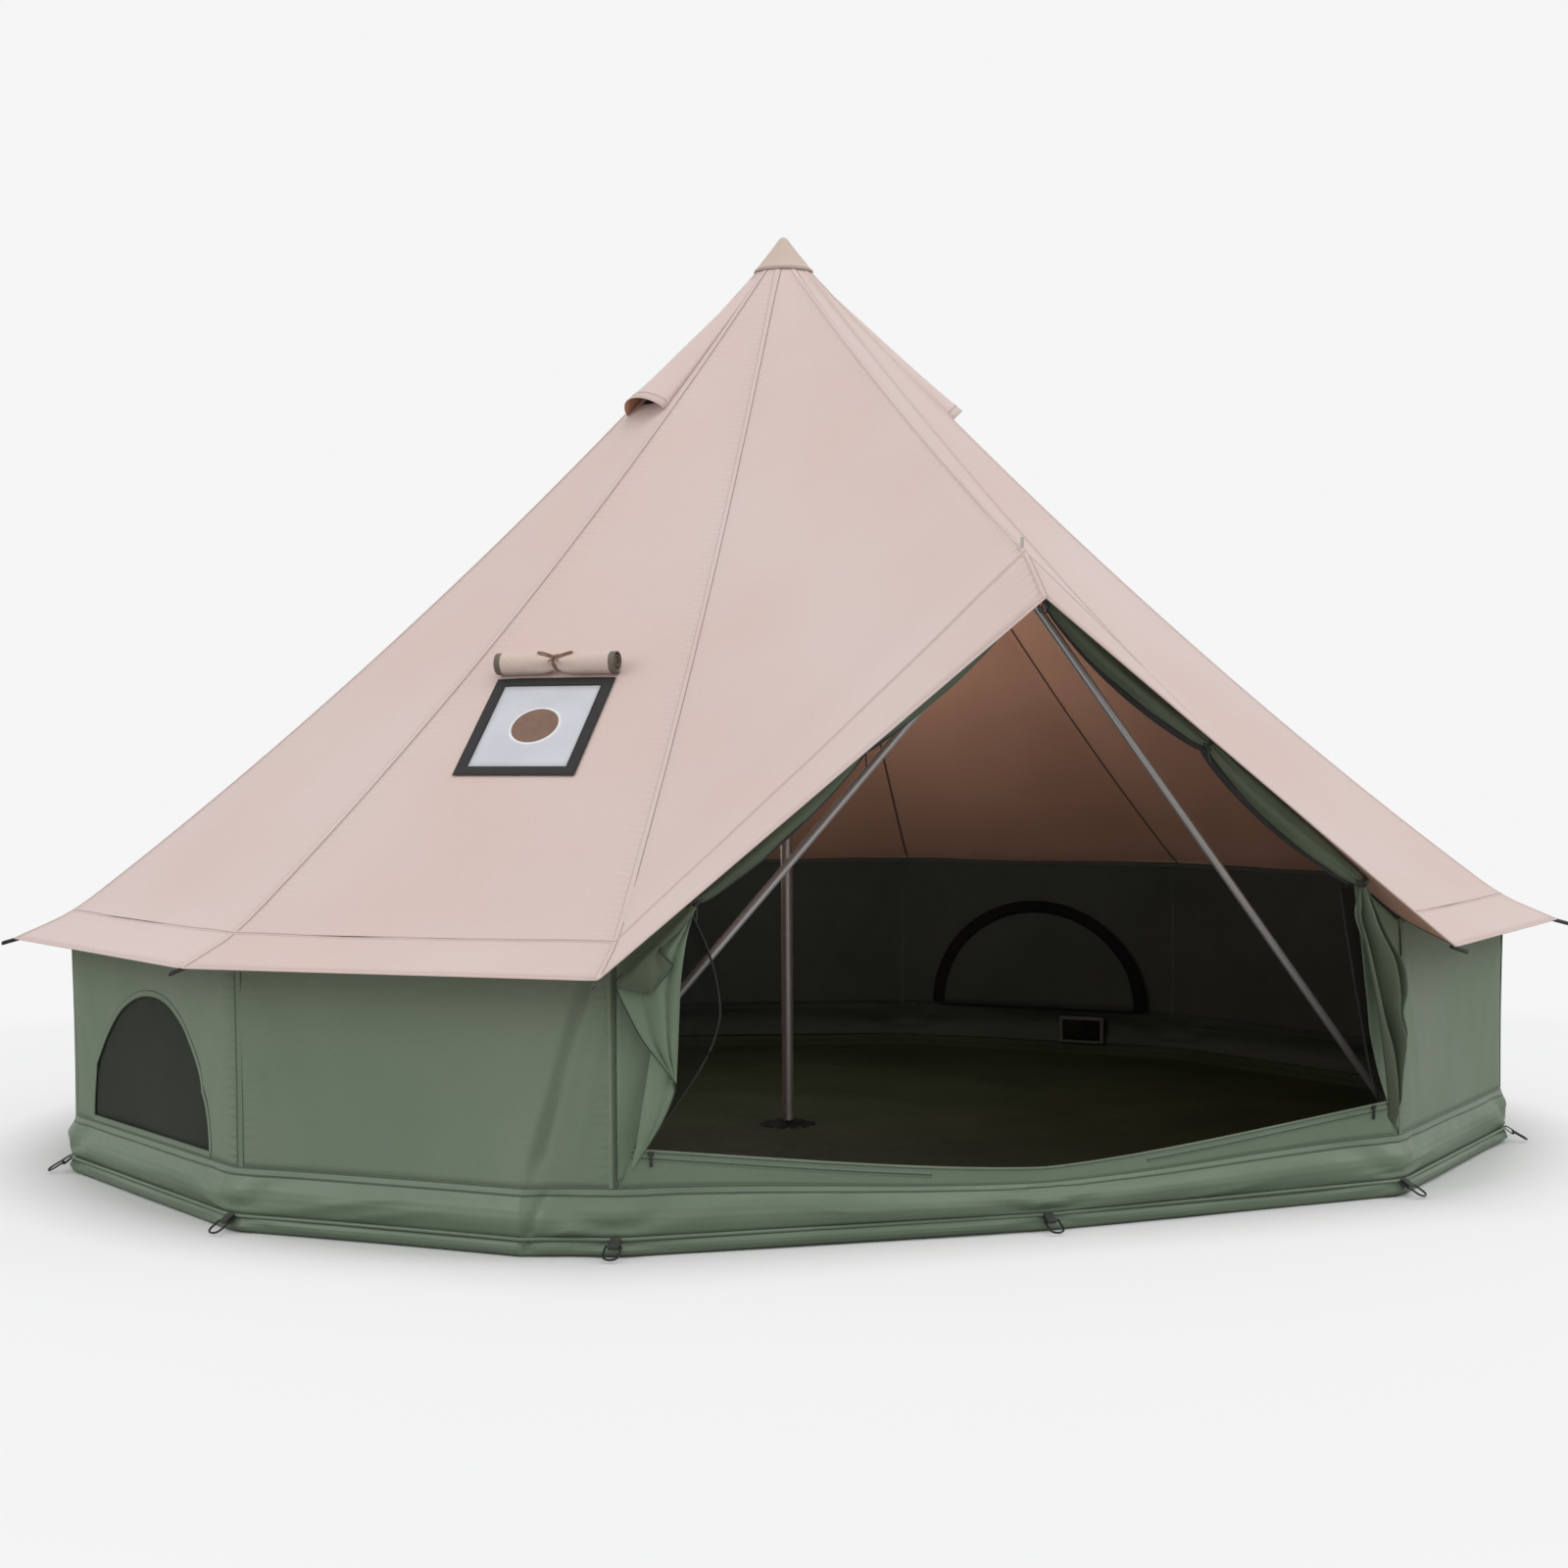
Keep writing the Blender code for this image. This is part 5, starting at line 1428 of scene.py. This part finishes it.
def door_roll(side, flip):
    """One rolled door with its loose lip and lengthwise folds, its screen, and its ties."""
    rows = []
    for step in range(roll_rows + 1):
        share = step / roll_rows
        centre, radius, run, inner, normal = roll_at(share)
        pinch = 1 - tie_pinch * sum(math.exp(-((share - tie) / tie_spread) ** 2) for tie in tie_shares)
        near_tie = sum(math.exp(-((share - tie) / 0.07) ** 2) for tie in tie_shares)
        row = []
        for k, turn in enumerate(arc(roll_columns)):
            fold = 0.07 * math.sin(3 * turn + 5 * share + flip) + 0.05 * math.sin(5 * turn - 9 * share + 2)
            fold += (0.10 * near_tie * math.sin(8 * turn + 2 * share)
                     + 0.08 * ripple((turn, share * 9, flip), (1, 1, 1)))
            reach = radius * pinch * (roll_body + fold + roll_lip * (k / roll_columns) ** 3)
            out = inner * roll_flatness * reach * math.cos(turn + lip_turn)
            rise = min(reach * math.sin(turn + lip_turn), radius)
            row.append(mirrored(centre + out + normal * rise, flip))
        rows.append(row if flip > 0 else row[::-1])
    made = sew(f"rolled_door_{side}", [rows], [shaded_door_cloth], thickness=0.0014, side=0)
    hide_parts(f"door_roll_{side}")
    fix(made)
    screen = []
    for step in range(61):
        centre, radius, run, inner, normal = roll_at(0.03 + 0.94 * step / 60)
        screen.append(mirrored(centre - inner * radius * 0.15 - normal * radius * 0.98, flip))
    cord_tube(f"rolled_screen_{side}", [screen],
              lambda share: 0.004 + 0.008 * math.sin(math.pi * min(1, share * 0.9 + 0.08)), rolled_mesh,
              sides=10)
    cords, toggles = [], []
    for tie in tie_shares:
        centre, radius, run, inner, normal = roll_at(tie)
        for shift in (-tie_gap, tie_gap):
            cords.append([mirrored(centre + run * (shift + 0.003 * math.sin(turn)) + (
                inner * math.cos(turn) * roll_flatness + normal * math.sin(turn)) * radius * tie_reach, flip)
                for turn in arc(32)])
        knot = centre + inner * radius * 0.98 - normal * radius * 0.48
        cords.append([mirrored(knot + inner * 0.010 * part - upright * 0.030 * part ** 1.3
                               + run * 0.008 * part, flip) for part in arc(8, 1)])
        toggles.append([mirrored(knot + run * reach, flip) for reach in toggle_places])
    cord_tube(f"door_ties_{side}", cords, tie_radius, black_webbing)
    cord_tube(f"door_toggles_{side}", toggles,
              lambda share: toggle_radius * math.sin(math.pi * (0.15 + 0.7 * share)) ** 0.5, black_webbing)


def peak_loops():
    """Two small cord loops that hold the rolled doors at the porch's peak."""
    peak = seam_at(0, eave_place - 0.12) - upright * peak_loop_drop
    loops = [[peak + Vector((shift + 0.008 * math.cos(turn), shift, 0.012 * math.sin(turn)))
              for turn in arc(24)] for shift in (-0.008, 0.010)]
    cord_tube("peak_loops", loops, peak_loop_radius, black_webbing)


door_roll("right", 1)
door_roll("left", -1)
peak_loops()


# The loose ends of the doors hang beside their corners with a piped edge, the left one turned over as a
# collar and the right one bunched in pleats. Each swings with its own body. Outlines are metres along the
# door line from its corner, and metres up.
left_front = (((0.146, 0.757), (0.075, 0.677), (0.015, 0.625), (-0.013, 0.592), (0.014, 0.527),
               (0.046, 0.469), (0.082, 0.424), (0.116, 0.380)),
              ((0.160, 0.752), (0.146, 0.710), (0.137, 0.669), (0.128, 0.596), (0.125, 0.512), (0.123, 0.439),
               (0.121, 0.400), (0.120, 0.374)))
left_back = (((0.075, 0.500), (0.062, 0.410), (0.046, 0.320), (0.034, 0.250), (0.022, 0.196)),
             ((0.118, 0.420), (0.119, 0.372), (0.113, 0.342), (0.086, 0.284), (0.026, 0.194)))
left_collar = (((0.148, 0.756), (0.076, 0.684), (0.016, 0.630), (-0.015, 0.590), (0.014, 0.580),
                (0.051, 0.570)),
               ((0.156, 0.752), (0.128, 0.712), (0.078, 0.668), (0.092, 0.646), (0.103, 0.626),
                (0.056, 0.572)))
right_bunch = (((0.170, 0.752), (0.184, 0.695), (0.161, 0.625), (0.138, 0.531), (0.112, 0.425),
                (0.088, 0.319), (0.068, 0.225), (0.058, 0.186)),
               ((0.148, 0.757), (0.116, 0.682), (0.080, 0.622), (0.034, 0.560), (0.022, 0.500),
                (0.034, 0.455), (0.022, 0.405), (0.040, 0.351), (0.052, 0.290), (0.050, 0.184)))
hanging_out, hanging_layer, hanging_bulge, piping_radius = 0.050, 0.009, 0.010, 0.0021
# The piping is real, and its near-black colour is painted shade: it draws the dark lines along the doors'
# edges.
shaded_door_piping = cloth_finish("shaded_door_piping", shaded(door_tones, 0.24), 0.6, patch=0.2)


def door_spot(flip, along, out, height):
    """A point by a door corner: along the door line towards its middle, out of the tent, and up."""
    start = corner(1, -wall_inset)
    line = (corner(0, -wall_inset) - start).normalized()
    return mirrored(start + line * along + upright.cross(line) * out + upright * height, flip)


def between(flip, near, far, across, out):
    """A spot part of the way across from one outline to another, and out of the tent."""
    return door_spot(flip, near[0] + (far[0] - near[0]) * across, out, near[1] + (far[1] - near[1]) * across)


def curve_at(knots, share):
    """A smooth curve through knots, by a share of them from 0 to 1."""
    place = min(share * (len(knots) - 1), len(knots) - 1.0001)
    index, part = int(place), place % 1
    around = [knots[min(max(index + step, 0), len(knots) - 1)] for step in (-1, 0, 1, 2)]
    return [b + 0.5 * part * (c - a + part * (2 * a - 5 * b + 4 * c - d + part * (3 * (b - c) + d - a)))
            for a, b, c, d in zip(*around)]


def hanging(edges, flip, layer, pleats, depth, rows=72, columns=40, lean=0.0):
    """Cloth between two outlines, with pleats that fan out from its top."""
    grid = []
    for row in range(rows + 1):
        down = row / rows
        left, right = curve_at(edges[0], down), curve_at(edges[1], down)
        width = math.dist(left, right)
        spots = []
        for column in range(columns + 1):
            across = column / columns
            warp = across + 0.09 * math.sin(2 * math.pi * across + 2.5 * down)
            wave = abs(math.sin(math.pi * (pleats * warp + 0.25 * math.sin(3 * down + flip)))) ** 0.8 - 0.5
            wave += 0.3 * ripple((across * 2, down * 3, layer * 90), (0.5, 1, 1), 5)
            bulge = math.sin(math.pi * across) * hanging_bulge
            out = hanging_out + layer + depth * wave * min(1, width / 0.07) ** 1.5 + bulge + lean * (1 - down)
            spots.append(between(flip, left, right, across, out))
        grid.append(spots if flip < 0 else spots[::-1])
    return grid


def hanging_door(side, layers, edge_runs):
    """One hanging end of canvas in its layers, and the piping along its free edge."""
    made = sew(f"hanging_door_{side}", layers, [door_canvas, shaded_door_cloth], thickness=0.0012, side=0)
    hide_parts(f"door_drape_{side}")
    fix(made, f"drape_{side}")
    cord_tube(f"hanging_door_piping_{side}", edge_runs, piping_radius, shaded_door_piping,
              body=f"drape_{side}")


front = hanging(left_front, -1, 0.0, 2.5, 0.012, lean=0.020)
back = hanging(left_back, -1, -hanging_layer, 1.5, 0.006, rows=40, columns=24)
# The collar is turned over, so it shows the darker copy of the door canvas, which is painted shade.
collar = hanging(left_collar, -1, hanging_layer + 0.022, 1.0, 0.010, rows=40, columns=20, lean=0.012)
free_edge = [row[0] for row in front[24:]] + [row[-1] for row in back[14:]]
hanging_door("left", [front, back, [row[::-1] for row in collar]],
             [free_edge, [row[-1] for row in collar[4:]]])
bunch = hanging(right_bunch, 1, 0.0, 2.6, 0.040, rows=90, columns=72, lean=0.020)
hanging_door("right", [bunch], [[row[-1] for row in bunch]])


# Beside each door corner: the narrow piece of canvas between the corner's seam and the tie, and behind it the
# edge of the insect screen, drawn aside with a bound edge.
side_edges = (((0.001, 0.664), (0.001, 0.500), (0.001, 0.300), (0.001, 0.160)),
              ((0.162, 0.768), (0.122, 0.560), (0.084, 0.360), (0.012, 0.170)))
left_screen = (((0.100, 0.740), (0.090, 0.600), (0.080, 0.450), (0.060, 0.320), (0.030, 0.210)),
               ((0.165, 0.748), (0.211, 0.650), (0.234, 0.550), (0.232, 0.483), (0.190, 0.390),
                (0.060, 0.215)))
right_screen = (((0.080, 0.740), (0.060, 0.600), (0.040, 0.450), (0.030, 0.320), (0.020, 0.210)),
                ((0.150, 0.748), (0.130, 0.640), (0.112, 0.540), (0.092, 0.440), (0.070, 0.330),
                 (0.032, 0.212)))
screen_out, side_swell, side_slack, screen_binding = -0.080, 0.040, 0.003, 0.0028
door_screen = screen_finish("door_screen", ((0.008, 0.009, 0.007, 1), (0.014, 0.015, 0.011, 1)), 0.66)
binding_cloth = cloth_finish("screen_binding", mesh_roll_tones, 0.7, patch=0.1)


def door_sides(side, flip, screen_edges):
    """The flat piece by the corner, the screen behind it and the screen's binding."""
    rows = []
    for row in range(31):
        down = row / 30
        near, far = curve_at(side_edges[0], down), curve_at(side_edges[1], down)
        spots = []
        for column in range(13):
            across = column / 12
            out = side_swell * across * (1 - down) ** 1.3
            out += side_slack * ripple((across, down * 2, flip), (0.4, 0.3, 1))
            spots.append(between(flip, near, far, across, out * min(1, across * 6)))
        rows.append(spots[::-1] if flip < 0 else spots)
    # One face of this piece takes the walls' darker inside finish: painted shade.
    made = fix(sew(f"door_side_{side}", [rows], [shaded_wall_inside, door_canvas], thickness=0.0012))
    screen = hanging(screen_edges, flip, screen_out, 1.5, 0.010, rows=36, columns=16)
    made = fix(sew(f"door_screen_{side}", [screen], [door_screen], thickness=0))
    edge = [row[-1] if flip < 0 else row[0] for row in screen]
    cord_tube(f"door_screen_binding_{side}", [edge], screen_binding, binding_cloth)


door_sides("left", -1, left_screen)
door_sides("right", 1, right_screen)


# The door sill: a low strip of tub cloth across the doorway with a piped top edge and a row of stitches under
# it, and a zip slider at each end.
sill_end_height, sill_middle_height, sill_curve = 0.232, 0.155, 1.4
sill_row_drop, sill_row_half, sill_dip, sill_piping_radius = 0.016, 0.006, 0.014, 0.0034


def sill_at(turns, down):
    """A point on the sill between the door corners, down from its piped edge."""
    point = plan_point(turns, wall_inset - 0.0005)
    top = sill_middle_height + (sill_end_height - sill_middle_height) * min(1, abs(turns)) ** sill_curve
    top -= sill_dip * by_door(turns)
    foot = wall_foot - wall_tuck - door_dip_depth * by_door(turns)
    return Vector((point.x, point.y, top + (foot - top) * down))


def door_sill():
    """The strip, its piping and its row of stitches."""
    columns = [0.998 * (2 * step / 80 - 1) for step in range(81)]
    rows = [[sill_at(turns, row / 6) for turns in columns] for row in range(7)]
    made = sew("door_sill", [rows], [coated_cloth, shaded_coated_inside])
    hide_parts("door_threshold")
    fix(made)
    edge = [sill_at(turns, 0) for turns in columns]
    cord_tube("door_sill_piping", [edge], sill_piping_radius, welt_cloth)
    runs = []
    for ends in (columns[:30], columns[51:]):
        runs.append([lambda offset, turns=turns: (sill_at(turns, 0) - upright * (sill_row_drop + offset),
                                                  plan_point(turns).normalized()) for turns in ends])
    finish = seam_finish("sill_row", tub_tones, 0.45, 0.0, green_groove_shade)
    strip("door_sill_rows", runs, sill_row_half, 0.0008, finish)


door_sill()
dress(["zip_slider_left", "zip_slider_right"], ring_metal)


# The cable port: a rounded grey frame on the inside of the rear tub, closed by a black flap. The frame is its
# own solid with a finish, and the flap is sewn into it.
port_flap_width, port_flap_height, port_flap_stand, port_flap_bulge = 0.138, 0.070, 0.0055, 0.0012
port_finish = tube_finish("port_frame", (0.050, 0.055, 0.048, 1), (0.090, 0.095, 0.085, 1), 0.6, 0.0)
port_flap = cloth_finish("port_flap", zip_band_tones, 0.8, patch=0.05, sheen=0.0, shine=0.06)


def cable_port():
    """The black flap in the frame."""
    low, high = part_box("cable_port")
    centre = (low + high) / 2
    along = (corner(5) - corner(4)).normalized()
    inward = upright.cross(along)
    bulges = [[math.sin(math.pi * row / 6) * math.sin(math.pi * k / 8) for k in range(9)] for row in range(7)]
    rows = [[centre + inward * (port_flap_stand + port_flap_bulge * bulges[row][k])
             + along * port_flap_width * (k / 8 - 0.5) + upright * port_flap_height * (0.5 - row / 6)
             for k in range(9)] for row in range(7)]
    fix(sew("cable_port_flap", [rows], [port_flap], thickness=0.001, side=0))


dress(["cable_port"], port_finish)
cable_port()
